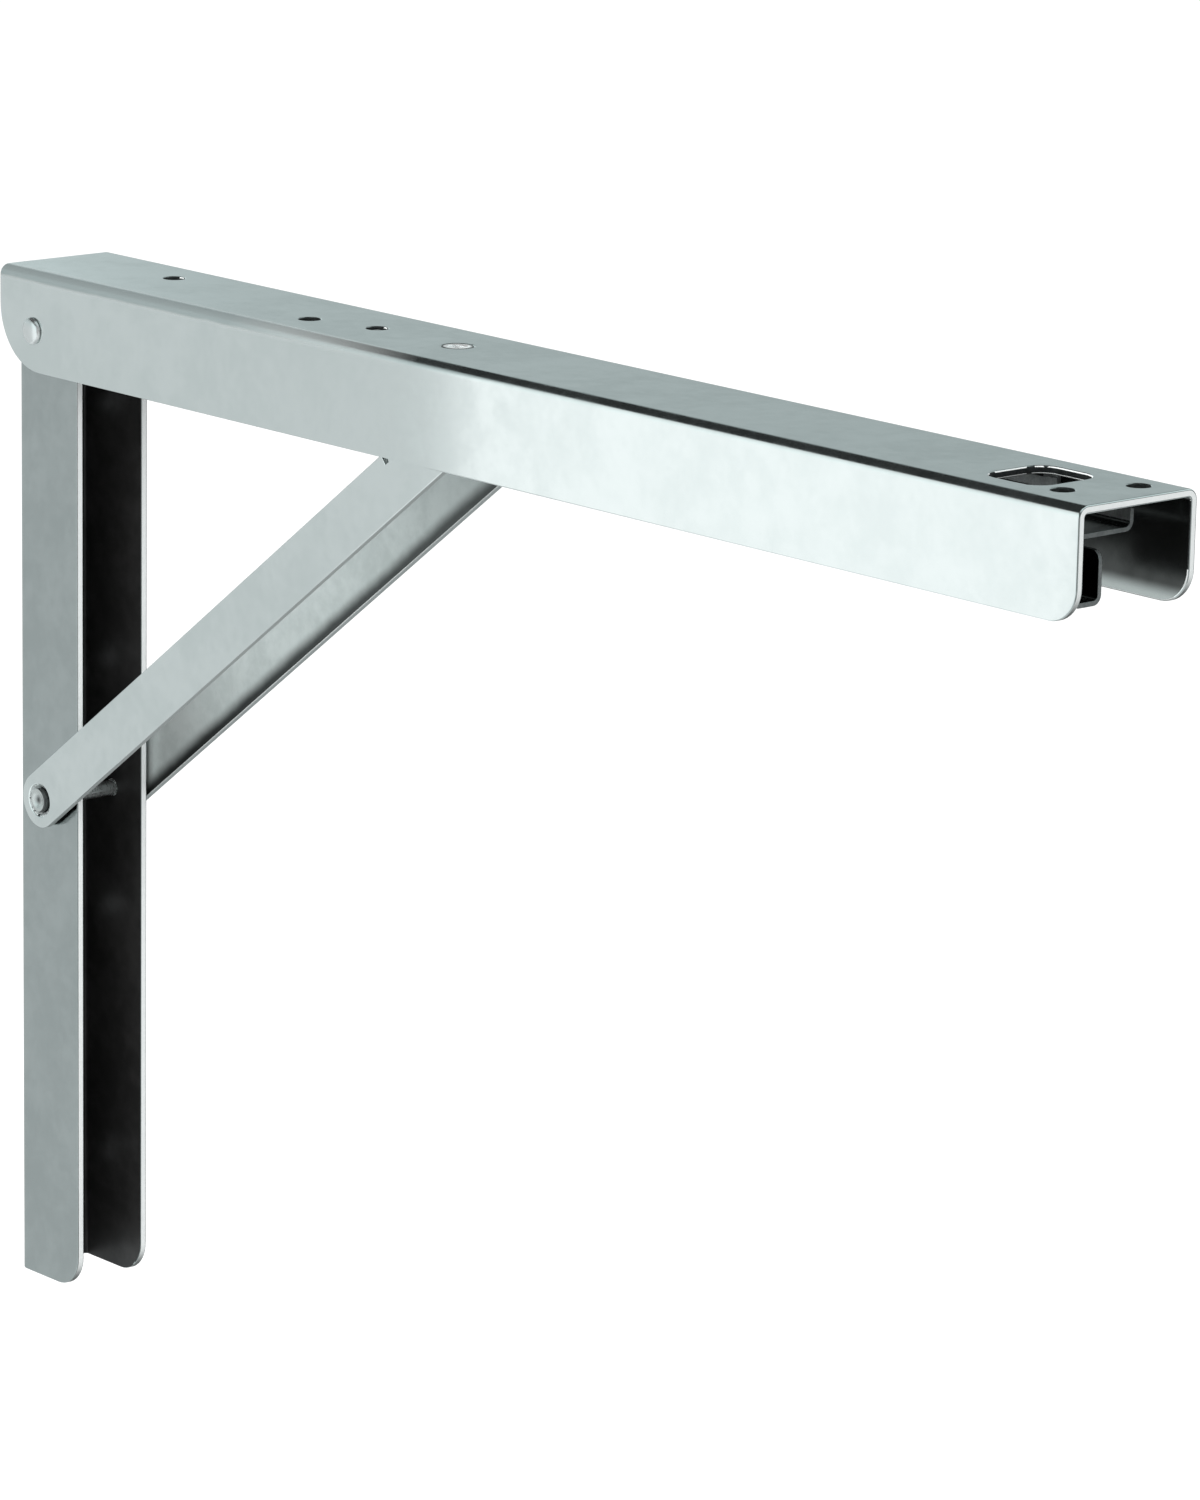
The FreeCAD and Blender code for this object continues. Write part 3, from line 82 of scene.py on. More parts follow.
class NodeCanvas:
    """A node tree with short calls that add nodes and join them."""

    def __init__(self, tree: bpy.types.NodeTree) -> None:
        """Start from an empty tree.

        Args:
            tree: the tree of a material or of the world.
        """
        self.tree = tree
        self.tree.nodes.clear()

    def add(self, kind: str, **settings: object) -> bpy.types.Node:
        """Add one node.

        Args:
            kind: the node's type name.
            settings: properties set on the node.

        Returns:
            The new node.
        """
        node = self.tree.nodes.new(kind)
        for name, setting in settings.items():
            setattr(node, name, setting)
        return node

    def feed(self, target: Socket, source: object) -> None:
        """Give an input a link or a constant.

        Args:
            target: the input socket.
            source: an output socket, a number or a colour.
        """
        if isinstance(source, Socket):
            self.tree.links.new(source, target)
        elif isinstance(source, tuple) and len(source) == 3 and target.type == "RGBA":
            target.default_value = (*source, 1.0)
        else:
            target.default_value = source

    def maths(self, operation: str, first: object, second: object = 0.0,
              third: object = 0.0) -> Socket:
        """Join two or three numbers by an operation.

        Args:
            operation: the name of a Math operation.
            first: a socket or a number.
            second: a socket or a number.
            third: a socket or a number.

        Returns:
            The result's socket.
        """
        node = self.add("ShaderNodeMath", operation=operation)
        for socket, source in zip(node.inputs, (first, second, third)):
            self.feed(socket, source)
        return node.outputs[0]

    def spread(self, value: object, low: float, high: float, to_low: float, to_high: float,
               smooth: bool = False) -> Socket:
        """Stretch a number from one range to another, held at its ends.

        Args:
            value: the number's socket.
            low: where the first range starts.
            high: where the first range ends.
            to_low: what low becomes.
            to_high: what high becomes.
            smooth: ease in and out between the ends.

        Returns:
            The result's socket.
        """
        kind = "SMOOTHSTEP" if smooth else "LINEAR"
        node = self.add("ShaderNodeMapRange", interpolation_type=kind, clamp=True)
        for name, source in (("Value", value), ("From Min", low), ("From Max", high),
                             ("To Min", to_low), ("To Max", to_high)):
            self.feed(node.inputs[name], source)
        return node.outputs["Result"]

    def noise(self, place: object, scale: float, detail: float = 2.0, roughness: float = 0.5,
              distortion: float = 0.0) -> Socket:
        """Smooth noise from 0 to 1.

        Args:
            place: the socket of the coordinates, in metres.
            scale: waves for each metre.
            detail: number of finer layers.
            roughness: how much the finer layers count.
            distortion: how much the noise bends itself.

        Returns:
            The socket of the noise.
        """
        node = self.add("ShaderNodeTexNoise", noise_dimensions="3D")
        self.feed(node.inputs["Vector"], place)
        node.inputs["Scale"].default_value = scale
        node.inputs["Detail"].default_value = detail
        node.inputs["Roughness"].default_value = roughness
        node.inputs["Distortion"].default_value = distortion
        return node.outputs["Fac"]

    def stretched(self, place: object, scale: Triple) -> Socket:
        """Scale coordinates by axis.

        Args:
            place: the socket of the coordinates.
            scale: one factor for each axis.

        Returns:
            The socket of the new coordinates.
        """
        node = self.add("ShaderNodeVectorMath", operation="MULTIPLY")
        self.feed(node.inputs[0], place)
        node.inputs[1].default_value = scale
        return node.outputs["Vector"]

    def reach(self, place: object, direction: Triple) -> Socket:
        """How far a point lies in a direction.

        Args:
            place: the socket of the coordinates.
            direction: the direction.

        Returns:
            The result's socket.
        """
        node = self.add("ShaderNodeVectorMath", operation="DOT_PRODUCT")
        self.feed(node.inputs[0], place)
        node.inputs[1].default_value = direction
        return node.outputs["Value"]

    def blend(self, amount: object, first: object, second: object) -> Socket:
        """Mix two colours.

        Args:
            amount: 0 gives the first colour and 1 the second.
            first: a socket or a colour.
            second: a socket or a colour.

        Returns:
            The socket of the mixed colour.
        """
        node = self.add("ShaderNodeMix", data_type="RGBA")
        self.feed(node.inputs["Factor"], amount)
        self.feed([s for s in node.inputs if s.name == "A" and s.type == "RGBA"][0], first)
        self.feed([s for s in node.inputs if s.name == "B" and s.type == "RGBA"][0], second)
        return [s for s in node.outputs if s.type == "RGBA"][0]

    def bump(self, shader: bpy.types.Node, height: Socket, distance: float = 1.0) -> None:
        """Tilt a shader's surface by a height field.

        Args:
            shader: the shader's node.
            height: the socket of the height.
            distance: how many metres a height of 1 stands for.
        """
        node = self.add("ShaderNodeBump")
        node.inputs["Distance"].default_value = distance
        self.feed(node.inputs["Height"], height)
        self.feed(shader.inputs["Normal"], node.outputs["Normal"])


def new_metal(name: str, metallic: float) -> tuple[Material, NodeCanvas, bpy.types.Node, Socket]:
    """Start a metal material.

    Args:
        name: the material's name.
        metallic: the share of bare metal, less than 1 where a dull film lies on it.

    Returns:
        The material, its canvas, its shader node and the socket of its coordinates in metres.
    """
    material = bpy.data.materials.new(name)
    material.use_nodes = True
    canvas = NodeCanvas(material.node_tree)
    shader = canvas.add("ShaderNodeBsdfPrincipled")
    shader.inputs["Metallic"].default_value = metallic
    output = canvas.add("ShaderNodeOutputMaterial")
    canvas.feed(output.inputs["Surface"], shader.outputs["BSDF"])
    place = canvas.add("ShaderNodeTexCoord").outputs["Object"]
    return material, canvas, shader, place


class Along(Enum):
    """The axis along which a sheet was rolled or a bar was turned, as its place in a vector."""

    X = 0
    Y = 1
    Z = 2

    def factors(self, own: float, others: float) -> Triple:
        """One factor for each axis: the first for this axis and the second for the other two."""
        return tuple(own if axis == self.value else others for axis in range(3))


@dataclass(frozen=True)
class PaintedBand:
    """A band along a sheet's edge or bend whose colour is painted light and shade: it stands in for
    how the edge or bend is lit, not for a tone of the plate.

    The band starts where a point reaches `clear` metres in the direction `across`, and is whole at
    `full`. It fades along the sheet: it is strongest where the point reaches `strong_end` metres in
    the direction `along`, and has `weak_share` of its strength at `weak_end`.
    """

    across: Triple
    clear: float
    full: float
    along: Triple
    strong_end: float
    weak_end: float
    weak_share: float
    # Near black by default: painted shade.
    colour: Colour = (0.012, 0.014, 0.014)
    metallic: float | None = None
    waver: float = 0.35 * MILLIMETRE

    def amount(self, canvas: NodeCanvas, place: Socket, cloud: Socket) -> Socket:
        """How much of the band's tone there is at a point.

        Args:
            canvas: the sheet's canvas.
            place: the socket of the coordinates, in metres.
            cloud: the socket of the sheet's clouds, which make the band's border uneven.

        Returns:
            The socket of the share, from 0 to 1.
        """
        waver = canvas.spread(cloud, *NOISE_RANGE, -self.waver, self.waver)
        depth = canvas.maths("ADD", canvas.reach(place, self.across), waver)
        band = canvas.spread(depth, self.clear, self.full, 0.0, 1.0, smooth=True)
        fade = canvas.spread(canvas.reach(place, self.along), self.strong_end, self.weak_end,
                             1.0, self.weak_share)
        return canvas.maths("MULTIPLY", band, fade)


@dataclass(frozen=True)
class ZincSheet:
    """Bright zinc plate on rolled steel: soft clouds, fine rolling lines and a pebbled skin."""

    name: str
    rolled: Along
    light: Colour = (0.84, 0.885, 0.875)
    dark: Colour = (0.78, 0.83, 0.82)
    smoothest: float = 0.13
    roughest: float = 0.22
    cloud_scale: float = 42.0
    cloud_share: float = 0.6
    patch_scale: float = 4.5
    pebble_scale: float = 520.0
    pebble_sway: float = 0.25
    line_scale: float = 2600.0
    cloud_depth: float = 0.000013
    pebble_depth: float = 0.0000025
    line_depth: float = 0.0000008
    tone_range: tuple[float, float] = (0.36, 0.64)
    polish_range: tuple[float, float] = (1.1, -0.1)
    metallic: float = 1.0
    painted_band: PaintedBand | None = None

    def material(self) -> Material:
        """Make the material.

        Returns:
            The zinc sheet material.
        """
        material, canvas, shader, place = new_metal(self.name, self.metallic)
        cloud = canvas.noise(place, self.cloud_scale, detail=3.0, roughness=0.55, distortion=0.6)
        patch = canvas.noise(place, self.cloud_scale * self.patch_scale, detail=4.0, roughness=0.6)
        pebble = canvas.noise(place, self.pebble_scale, detail=3.0, roughness=0.6)
        lines = canvas.noise(canvas.stretched(place, self.rolled.factors(ROLLED_LINE, 1.0)),
                             self.line_scale)
        mottle = canvas.maths("ADD", canvas.maths("MULTIPLY", cloud, self.cloud_share),
                              canvas.maths("MULTIPLY", patch, 1.0 - self.cloud_share))
        tone = canvas.spread(mottle, *self.tone_range, 0.0, 1.0, smooth=True)
        colour = canvas.blend(tone, self.dark, self.light)
        # The band's colour and metallic over the plate are painted light and shade.
        if self.painted_band is not None:
            share = self.painted_band.amount(canvas, place, cloud)
            colour = canvas.blend(share, colour, self.painted_band.colour)
            if self.painted_band.metallic is not None:
                canvas.feed(shader.inputs["Metallic"],
                            canvas.spread(share, 0.0, 1.0, self.metallic, self.painted_band.metallic))
        canvas.feed(shader.inputs["Base Color"], colour)
        sway = canvas.spread(pebble, *NOISE_RANGE, -self.pebble_sway, self.pebble_sway)
        polish = canvas.maths("ADD", tone, sway)
        canvas.feed(shader.inputs["Roughness"],
                    canvas.spread(polish, *self.polish_range, self.smoothest, self.roughest))
        relief = canvas.maths("MULTIPLY", cloud, self.cloud_depth)
        relief = canvas.maths("ADD", relief, canvas.maths("MULTIPLY", pebble, self.pebble_depth))
        relief = canvas.maths("ADD", relief, canvas.maths("MULTIPLY", lines, self.line_depth))
        canvas.bump(shader, relief)
        return material


@dataclass(frozen=True)
class CutEdge:
    """A sheared or punched edge under its plate: bright, with fine tear lines through the sheet.

    Where the edge faces down it turns grey: painted shade, for the light that doesn't reach it.
    """

    name: str
    light: Colour = (0.93, 0.97, 0.965)
    dark: Colour = (0.85, 0.89, 0.885)
    # The grey that edges facing down turn to: painted shade.
    down_painted_shade: Colour = (0.16, 0.175, 0.172)
    metallic: float = 0.05
    roughness: float = 0.62
    roughness_sway: float = 0.1
    tear_scale: float = 1900.0
    tear_share: float = 0.6
    tear_depth: float = 0.00001
    burnish_scale: float = 1 / 6
    down_shade_range: tuple[float, float] = (0.15, 0.75)

    def material(self) -> Material:
        """Make the material.

        Returns:
            The cut edge material.
        """
        material, canvas, shader, place = new_metal(self.name, self.metallic)
        tears = canvas.noise(place, self.tear_scale, detail=3.0, roughness=0.65)
        burnish = canvas.noise(place, self.tear_scale * self.burnish_scale)
        mixed = canvas.maths("MULTIPLY_ADD", tears, self.tear_share,
                             canvas.maths("MULTIPLY", burnish, 1.0 - self.tear_share))
        tone = canvas.spread(mixed, *TONE_RANGE, 0.0, 1.0)
        # Painted shade on edges that face down.
        facing = canvas.reach(canvas.add("ShaderNodeTexCoord").outputs["Normal"], DOWN)
        thin = canvas.spread(facing, *self.down_shade_range, 0.0, 1.0, smooth=True)
        colour = canvas.blend(tone, self.dark, self.light)
        canvas.feed(shader.inputs["Base Color"], canvas.blend(thin, colour, self.down_painted_shade))
        canvas.feed(shader.inputs["Roughness"],
                    canvas.spread(tone, 0.0, 1.0, self.roughness + self.roughness_sway,
                                  self.roughness - self.roughness_sway))
        canvas.bump(shader, mixed, self.tear_depth)
        return material


@dataclass(frozen=True)
class TurnedSteel:
    """Steel turned or drawn along one axis, with rings left by the tool and a thin plate.

    A head that has a hollow gets painted shade in its middle, as seen along the axis that `face`
    leaves out, and a ring of painted shadow beyond its seat, where it meets the sheet.
    """

    name: str
    turned: Along
    light: Colour = (0.86, 0.865, 0.86)
    dark: Colour = (0.62, 0.63, 0.63)
    smoothest: float = 0.18
    roughest: float = 0.36
    ring_scale: float = 900.0
    ring_share: float = 0.5
    ring_depth: float = 0.0000006
    stain_scale: float = 0.2
    metallic: float = 1.0
    # Where a head's painted shade and the painted shadow round its seat fall, and their colour.
    hollow: Triple | None = None
    face: Triple = ACROSS_Y
    hollow_radius: float = 1.8 * MILLIMETRE
    seat: float = 3.0 * MILLIMETRE
    seat_width: float = 0.2 * MILLIMETRE
    painted_shade_colour: Colour = (0.10, 0.105, 0.105)

    def material(self) -> Material:
        """Make the material.

        Returns:
            The turned steel material.
        """
        material, canvas, shader, place = new_metal(self.name, self.metallic)
        rings = canvas.noise(canvas.stretched(place, self.turned.factors(1.0, TURNED_RING)),
                             self.ring_scale, detail=4.0, roughness=0.6)
        stain = canvas.noise(place, self.ring_scale * self.stain_scale, detail=3.0)
        mixed = canvas.maths("MULTIPLY_ADD", rings, self.ring_share,
                             canvas.maths("MULTIPLY", stain, 1.0 - self.ring_share))
        tone = canvas.spread(mixed, *TONE_RANGE, 0.0, 1.0)
        colour = canvas.blend(tone, self.dark, self.light)
        # Painted shade in the hollow, then a painted shadow ring beyond the seat.
        if self.hollow is not None:
            away = canvas.add("ShaderNodeVectorMath", operation="DISTANCE")
            canvas.feed(away.inputs[0], canvas.stretched(place, self.face))
            away.inputs[1].default_value = self.hollow
            radius = away.outputs["Value"]
            depth = canvas.spread(radius, 0.0, self.hollow_radius, 1.0, 0.0, smooth=True)
            colour = canvas.blend(depth, colour, self.painted_shade_colour)
            under = canvas.spread(radius, self.seat - self.seat_width, self.seat, 0.0, 1.0,
                                  smooth=True)
            colour = canvas.blend(under, colour, self.painted_shade_colour)
        canvas.feed(shader.inputs["Base Color"], colour)
        canvas.feed(shader.inputs["Roughness"],
                    canvas.spread(rings, *NOISE_RANGE, self.smoothest, self.roughest))
        canvas.bump(shader, rings, self.ring_depth)
        return material


class Shape(Enum):
    """How a piece is treated when it is dressed."""

    FOLDED_SHEET = "folded sheet"
    TURNED = "turned"
    WIRE = "wire"


class Slot(IntEnum):
    """The material slots of a folded sheet."""

    SKIN = 0
    EDGE = 1
    BORE = 2
    INSIDE = 3
    RIM = 4
    LIP = 5


def softened(node: str, radius: float, flat_faces: bool) -> bpy.types.Object:
    """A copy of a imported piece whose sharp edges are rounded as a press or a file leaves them.

    The rounded strips are left in the slot of rims and all other faces in the first slot.

    Args:
        node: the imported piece's name.
        radius: how far each sharp edge is taken back, in metres.
        flat_faces: keep broad faces flat up to their bends, as on sheet; a turned form is rounded
            all over.

    Returns:
        The new object.
    """
    mesh = bpy.data.meshes.new(f"{node}_skin")
    form = bmesh.new()
    form.from_mesh(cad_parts[node].data)
    bmesh.ops.remove_doubles(form, verts=form.verts, dist=WELD_DISTANCE)
    bmesh.ops.dissolve_degenerate(form, edges=form.edges, dist=WELD_DISTANCE)
    bmesh.ops.dissolve_limit(form, angle_limit=FLAT_ANGLE, verts=form.verts, edges=form.edges)
    for face in form.faces:
        face.smooth = True
    form.to_mesh(mesh)
    form.free()
    for _ in Slot:
        mesh.materials.append(None)
    piece = bpy.data.objects.new(f"{node}_skin", mesh)
    bpy.context.scene.collection.objects.link(piece)
    bevel = piece.modifiers.new("edges", "BEVEL")
    bevel.width = radius
    bevel.segments = ROUNDING_STEPS
    bevel.limit_method = "ANGLE"
    bevel.angle_limit = SHARP_ANGLE
    bevel.use_clamp_overlap = False
    bevel.miter_outer = "MITER_SHARP"
    bevel.material = Slot.RIM
    if flat_faces:
        level = piece.modifiers.new("flat_faces", "WEIGHTED_NORMAL")
        level.mode = "FACE_AREA"
        level.weight = FACE_WEIGHT
        level.keep_sharp = False
    else:
        bevel.harden_normals = True
    depsgraph = bpy.context.evaluated_depsgraph_get()
    finished = bpy.data.meshes.new_from_object(piece.evaluated_get(depsgraph))
    piece.modifiers.clear()
    piece.data = finished
    return piece


@dataclass(frozen=True)
class SheetReader:
    """Tells a folded sheet's outer skin, sheared edges, bore walls and inner skin apart.

    A face is broad where the sheet's far side lies one sheet thickness behind it, give or take
    the share `slack`. A face is shut in where enough of the rays that leave it, in `turns`
    directions at each of the `tilts`, meet the same sheet within `reach`.
    """

    sheet: float
    widest_bore: float = 26.0 * MILLIMETRE
    reach: float = 60.0 * MILLIMETRE
    tilts: tuple[float, ...] = (0.25, 0.8, 2.2)
    turns: int = 8
    shut_in_share: float = 0.12
    slack: float = 0.1

    def mark(self, piece: bpy.types.Object) -> dict[Slot, int]:
        """Give every face of a sheet its material slot.

        A broad face is inside where it is shut in, and skin elsewhere. A rounded rim is a lip
        where it is shut in by walls that stand farther off than a bore's, and a bore's rim where
        only near walls shut it in. Any other face belongs to a bore where the wall across from it
        is near, and else to a sheared edge.

        Args:
            piece: the object.

        Returns:
            The number of faces in each slot.
        """
        tree = BVHTree.FromObject(piece, bpy.context.evaluated_depsgraph_get())
        counts = {slot: 0 for slot in Slot}
        for polygon in piece.data.polygons:
            slot = self.slot_of(tree, polygon)
            polygon.material_index = slot
            counts[slot] += 1
        return counts

    def slot_of(self, tree: BVHTree, polygon: bpy.types.MeshPolygon) -> Slot:
        """Find one face's slot.

        Args:
            tree: the sheet's faces.
            polygon: the face, in the slot that the rounding of the edges left it in.

        Returns:
            The slot.
        """
        normal = polygon.normal
        outside = polygon.center + normal * SKIN_DEPTH
        if polygon.material_index == Slot.RIM:
            if self.is_shut_in(tree, outside, normal, self.widest_bore):
                return Slot.LIP
            return Slot.BORE if self.is_shut_in(tree, outside, normal) else Slot.RIM
        depth = tree.ray_cast(polygon.center - normal * SKIN_DEPTH, -normal)[3]
        if depth is not None and abs(depth + SKIN_DEPTH - self.sheet) <= self.sheet * self.slack:
            # Shut-in broad faces take the inner plate, which is painted shade.
            return Slot.INSIDE if self.is_shut_in(tree, outside, normal) else Slot.SKIN
        across = tree.ray_cast(outside, normal)[3]
        return Slot.BORE if across is not None and across < self.widest_bore else Slot.EDGE

    def is_shut_in(self, tree: BVHTree, start: Vector, normal: Vector,
                   nearest: float = 0.0) -> bool:
        """Look from a point in many slanting directions for walls of the same sheet.

        Args:
            tree: the sheet's faces.
            start: the point.
            normal: the direction away from the face.
            nearest: the distance within which a wall doesn't count.

        Returns:
            True where enough of the directions meet a wall.
        """
        aside = normal.orthogonal().normalized()
        ahead = normal.cross(aside)
        met = 0
        for tilt in self.tilts:
            for step in range(self.turns):
                angle = math.tau * step / self.turns
                slant = normal + (aside * math.cos(angle) + ahead * math.sin(angle)) * tilt
                away = tree.ray_cast(start, slant.normalized(), self.reach)[3]
                met += away is not None and away > nearest
        return met >= self.shut_in_share * self.turns * len(self.tilts)


@dataclass
class Piece:
    """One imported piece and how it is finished."""

    node: str
    body: str
    slot: str
    shape: Shape
    skin: Material
    cut: tuple[Material, ...] = ()
    sheet: float = 0.0
    edge_radius: float = 0.12 * MILLIMETRE

    def dress(self) -> bpy.types.Object:
        """Finish the piece, over a softened copy unless it is a wire.

        Returns:
            The object that is shown.
        """
        if self.shape is Shape.WIRE:
            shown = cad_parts[self.node]
            shown.material_slots[0].link = "OBJECT"
            shown.material_slots[0].material = self.skin
            log.info("%s: wire, dressed in %s", self.node, self.skin.name)
            return shown
        shown = softened(self.node, self.edge_radius, flat_faces=self.shape is Shape.FOLDED_SHEET)
        if self.shape is Shape.FOLDED_SHEET:
            counts = SheetReader(self.sheet).mark(shown)
            self.fill_slots(shown, (self.skin, *self.cut[:3], self.skin, self.cut[3]))
            tally = ", ".join(f"{count} {slot.name.lower()}" for slot, count in counts.items())
            log.info("%s: folded sheet, faces: %s", self.node, tally)
        else:
            self.fill_slots(shown, (self.skin,) * len(Slot))
            log.info("%s: turned, %d faces, dressed in %s", self.node,
                     len(shown.data.polygons), self.skin.name)
        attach(shown, self.body)
        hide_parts(self.node)
        return shown

    @staticmethod
    def fill_slots(shown: bpy.types.Object, materials: tuple[Material, ...]) -> None:
        """Set the material of each slot of a mesh.

        Args:
            shown: the object.
            materials: one material for each slot.
        """
        for slot, material in zip(Slot, materials):
            shown.data.materials[slot] = material


@dataclass
class Finishes:
    """The materials that the pieces share."""

    arm: Material = field(init=False)
    rail: Material = field(init=False)
    strut: Material = field(init=False)
    pressing: Material = field(init=False)
    arm_inside: Material = field(init=False)
    pressing_inside: Material = field(init=False)
    rail_inside: Material = field(init=False)
    strut_inside: Material = field(init=False)
    edge: Material = field(init=False)
    strut_edge: Material = field(init=False)
    pressing_edge: Material = field(init=False)
    bore: Material = field(init=False)
    turned: Material = field(init=False)
    rivet: Material = field(init=False)
    dished_rivet: Material = field(init=False)
    eyelet: Material = field(init=False)

    def __post_init__(self) -> None:
        """Make each material once."""
        self.make_skins()
        self.make_insides()
        self.make_edges()
        self.make_turned()

    def make_skins(self) -> None:
        """Make the outer plate of the folded sheets, with some painted light and shade."""
        # Painted light: a duller grey, less metallic tone on the rear part of the near bend.
        bend_painted_light = PaintedBand(across=(0.0, -0.7, 0.7), clear=0.0217, full=0.0226,
                             along=(1.0, 0.0, 0.0), strong_end=0.10, weak_end=0.175,
                             weak_share=0.0, colour=(0.26, 0.305, 0.305), metallic=0.3,
                             waver=0.12 * MILLIMETRE)
        self.arm = ZincSheet("arm_bright_zinc", Along.X, painted_band=bend_painted_light).material()
        # Painted shade: the rail's zinc is darker than the arm's, for the dimmer reflection on it.
        self.rail = ZincSheet("rail_zinc_painted_shade", Along.Z, light=(0.53, 0.57, 0.565),
                              dark=(0.47, 0.51, 0.505)).material()
        self.strut = ZincSheet("strut_bright_zinc", Along.X, light=(0.86, 0.905, 0.895)).material()
        # Painted shade: the guide, lever and hook inside the arm get a dark zinc.
        self.pressing = ZincSheet("pressing_zinc_painted_shade", Along.X, light=(0.34, 0.36, 0.355),
                                  dark=(0.28, 0.30, 0.295), cloud_scale=80.0).material()

    def make_insides(self) -> None:
        """Make the inner plate of the folded sheets, whose dark colour is painted shade."""
        # Painted shade: near black inner plate, with a painted reflection low on the flanges.
        rim_painted_reflection = PaintedBand(across=(0.0, 0.0, -1.0), clear=0.0066, full=0.0104,
                               along=(1.0, 0.0, 0.0), strong_end=0.40, weak_end=0.2,
                               weak_share=0.4, colour=(0.42, 0.46, 0.45))
        self.arm_inside = ZincSheet("arm_inner_painted_shade_and_reflection", Along.X, light=(0.062, 0.066, 0.064),
                                    dark=(0.042, 0.045, 0.044), smoothest=0.16, roughest=0.24,
                                    metallic=0.9, painted_band=rim_painted_reflection).material()
        # Painted shade: near black inner plate of the guide, lever and hook.
        self.pressing_inside = ZincSheet("pressing_inner_painted_shade", Along.X,
                                         light=(0.05, 0.053, 0.052), dark=(0.03, 0.032, 0.031),
                                         smoothest=0.22, roughest=0.32).material()
        # Painted shade: near black inside of the rail's channel.
        self.rail_inside = ZincSheet("rail_inner_painted_shade", Along.Z, light=(0.06, 0.06, 0.06),
                                     dark=(0.035, 0.035, 0.035), smoothest=0.34, roughest=0.46,
                                     metallic=0.5).material()
        # Painted shade: strut's inner plate darker and duller, near black along its lower edge.
        lower_edge_painted_shade = PaintedBand(across=(0.6, 0.0, -0.8), clear=0.1132, full=0.1172,
                              along=(0.8, 0.0, 0.6), strong_end=-0.06, weak_end=0.12,
                              weak_share=0.85)
        self.strut_inside = ZincSheet("strut_inner_painted_shade", Along.X, light=(0.68, 0.74, 0.73),
                                      dark=(0.58, 0.64, 0.63), smoothest=0.42, roughest=0.52,
                                      cloud_scale=70.0, metallic=0.5,
                                      painted_band=lower_edge_painted_shade).material()

    def make_edges(self) -> None:
        """Make the sheared edges and the walls of the punched holes."""
        self.edge = CutEdge("cut_edge").material()
        # The strut's cut edges are darker than the others: painted shade.
        self.strut_edge = CutEdge("strut_cut_edge_painted_shade", light=(0.60, 0.64, 0.64),
                                  dark=(0.48, 0.52, 0.52), down_painted_shade=(0.42, 0.46, 0.455),
                                  metallic=0.3).material()
        # The edges of the guide, lever and hook inside the arm are darker: painted shade.
        self.pressing_edge = CutEdge("pressing_cut_edge_painted_shade", light=(0.46, 0.48, 0.48),
                                     dark=(0.32, 0.34, 0.34), metallic=0.85).material()
        # The walls of the punched holes are near black: painted shade in the holes.
        self.bore = CutEdge("punched_bore_painted_shade", light=(0.11, 0.115, 0.115),
                            dark=(0.06, 0.065, 0.065), metallic=1.0).material()

    def make_turned(self) -> None:
        """Make the turned steel and the rivet heads."""
        self.turned = TurnedSteel("turned_plain_steel", Along.Y, light=(0.50, 0.51, 0.51),
                                  dark=(0.34, 0.35, 0.35)).material()
        self.rivet = TurnedSteel("rivet_bright_zinc", Along.Y, light=(0.88, 0.905, 0.90),
                                 dark=(0.76, 0.785, 0.78), metallic=0.95).material()
        off_middle, dished_inset, eyelet_inset = (size * MILLIMETRE for size in (0.5, 0.05, 0.45))
        # Painted shade in the dished rivet's hollow and painted shadow round its seat.
        middle, radius = self.head_of("strut_pivot_rivet")
        self.dished_rivet = TurnedSteel("dished_rivet_zinc", Along.Y, light=(0.70, 0.735, 0.725),
                                        dark=(0.58, 0.61, 0.60), metallic=0.9,
                                        hollow=(middle.x - off_middle, 0.0, middle.z),
                                        seat=radius - dished_inset).material()
        # Painted shade in the eyelet's hole and painted shadow round its seat.
        middle, radius = self.head_of("guide_rivet")
        self.eyelet = TurnedSteel("eyelet_zinc", Along.Z, light=(0.97, 0.99, 0.985),
                                  dark=(0.90, 0.92, 0.915), metallic=0.7, face=ACROSS_Z,
                                  hollow=(middle.x, middle.y, 0.0),
                                  hollow_radius=0.4 * MILLIMETRE, seat_width=0.3 * MILLIMETRE,
                                  seat=radius - eyelet_inset).material()

    @staticmethod
    def head_of(node: str) -> tuple[Vector, float]:
        """Find a rivet's middle and the radius of its head.

        Args:
            node: the rivet's name.

        Returns:
            The middle and half of its reach along X.
        """
        low, high = (Vector(corner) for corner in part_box(node))
        return (low + high) / 2, (high.x - low.x) / 2

    def cut(self, edge: Material, inside: Material, lip: Material,
            bore: Material | None = None) -> tuple[Material, ...]:
        """List what a folded sheet shows besides its outer skin: edge, bores, inner skin, lips."""
        return (edge, self.bore if bore is None else bore, inside, lip)


@dataclass
class WallRail:
    """The folded rail on the wall, with the rivets, tubes and washers that it carries."""

    finishes: Finishes
    sheet: float = 2.0 * MILLIMETRE
    edge_radius: float = 0.28 * MILLIMETRE

    def dress(self) -> list[bpy.types.Object]:
        """Dress the rail and what is fixed to it.

        Returns:
            The objects that are shown.
        """
        finishes = self.finishes
        cut = finishes.cut(finishes.edge, finishes.rail_inside, finishes.edge)
        rail = Piece("wall_rail", "rail", "rail_zinc", Shape.FOLDED_SHEET, finishes.rail, cut,
                     self.sheet, self.edge_radius)
        shown = [rail.dress()]
        for node, skin in (("top_pivot_rivet", finishes.rivet),
                           ("strut_pivot_rivet", finishes.dished_rivet)):
            shown.append(Piece(node, "rail", "rivet_zinc", Shape.TURNED, skin).dress())
        for node in ("top_spacer_tube", "top_bush_near", "top_bush_far",
                     "strut_washer_near", "strut_washer_far"):
            shown.append(Piece(node, "rail", "tube_steel", Shape.TURNED, finishes.turned).dress())
        return shown


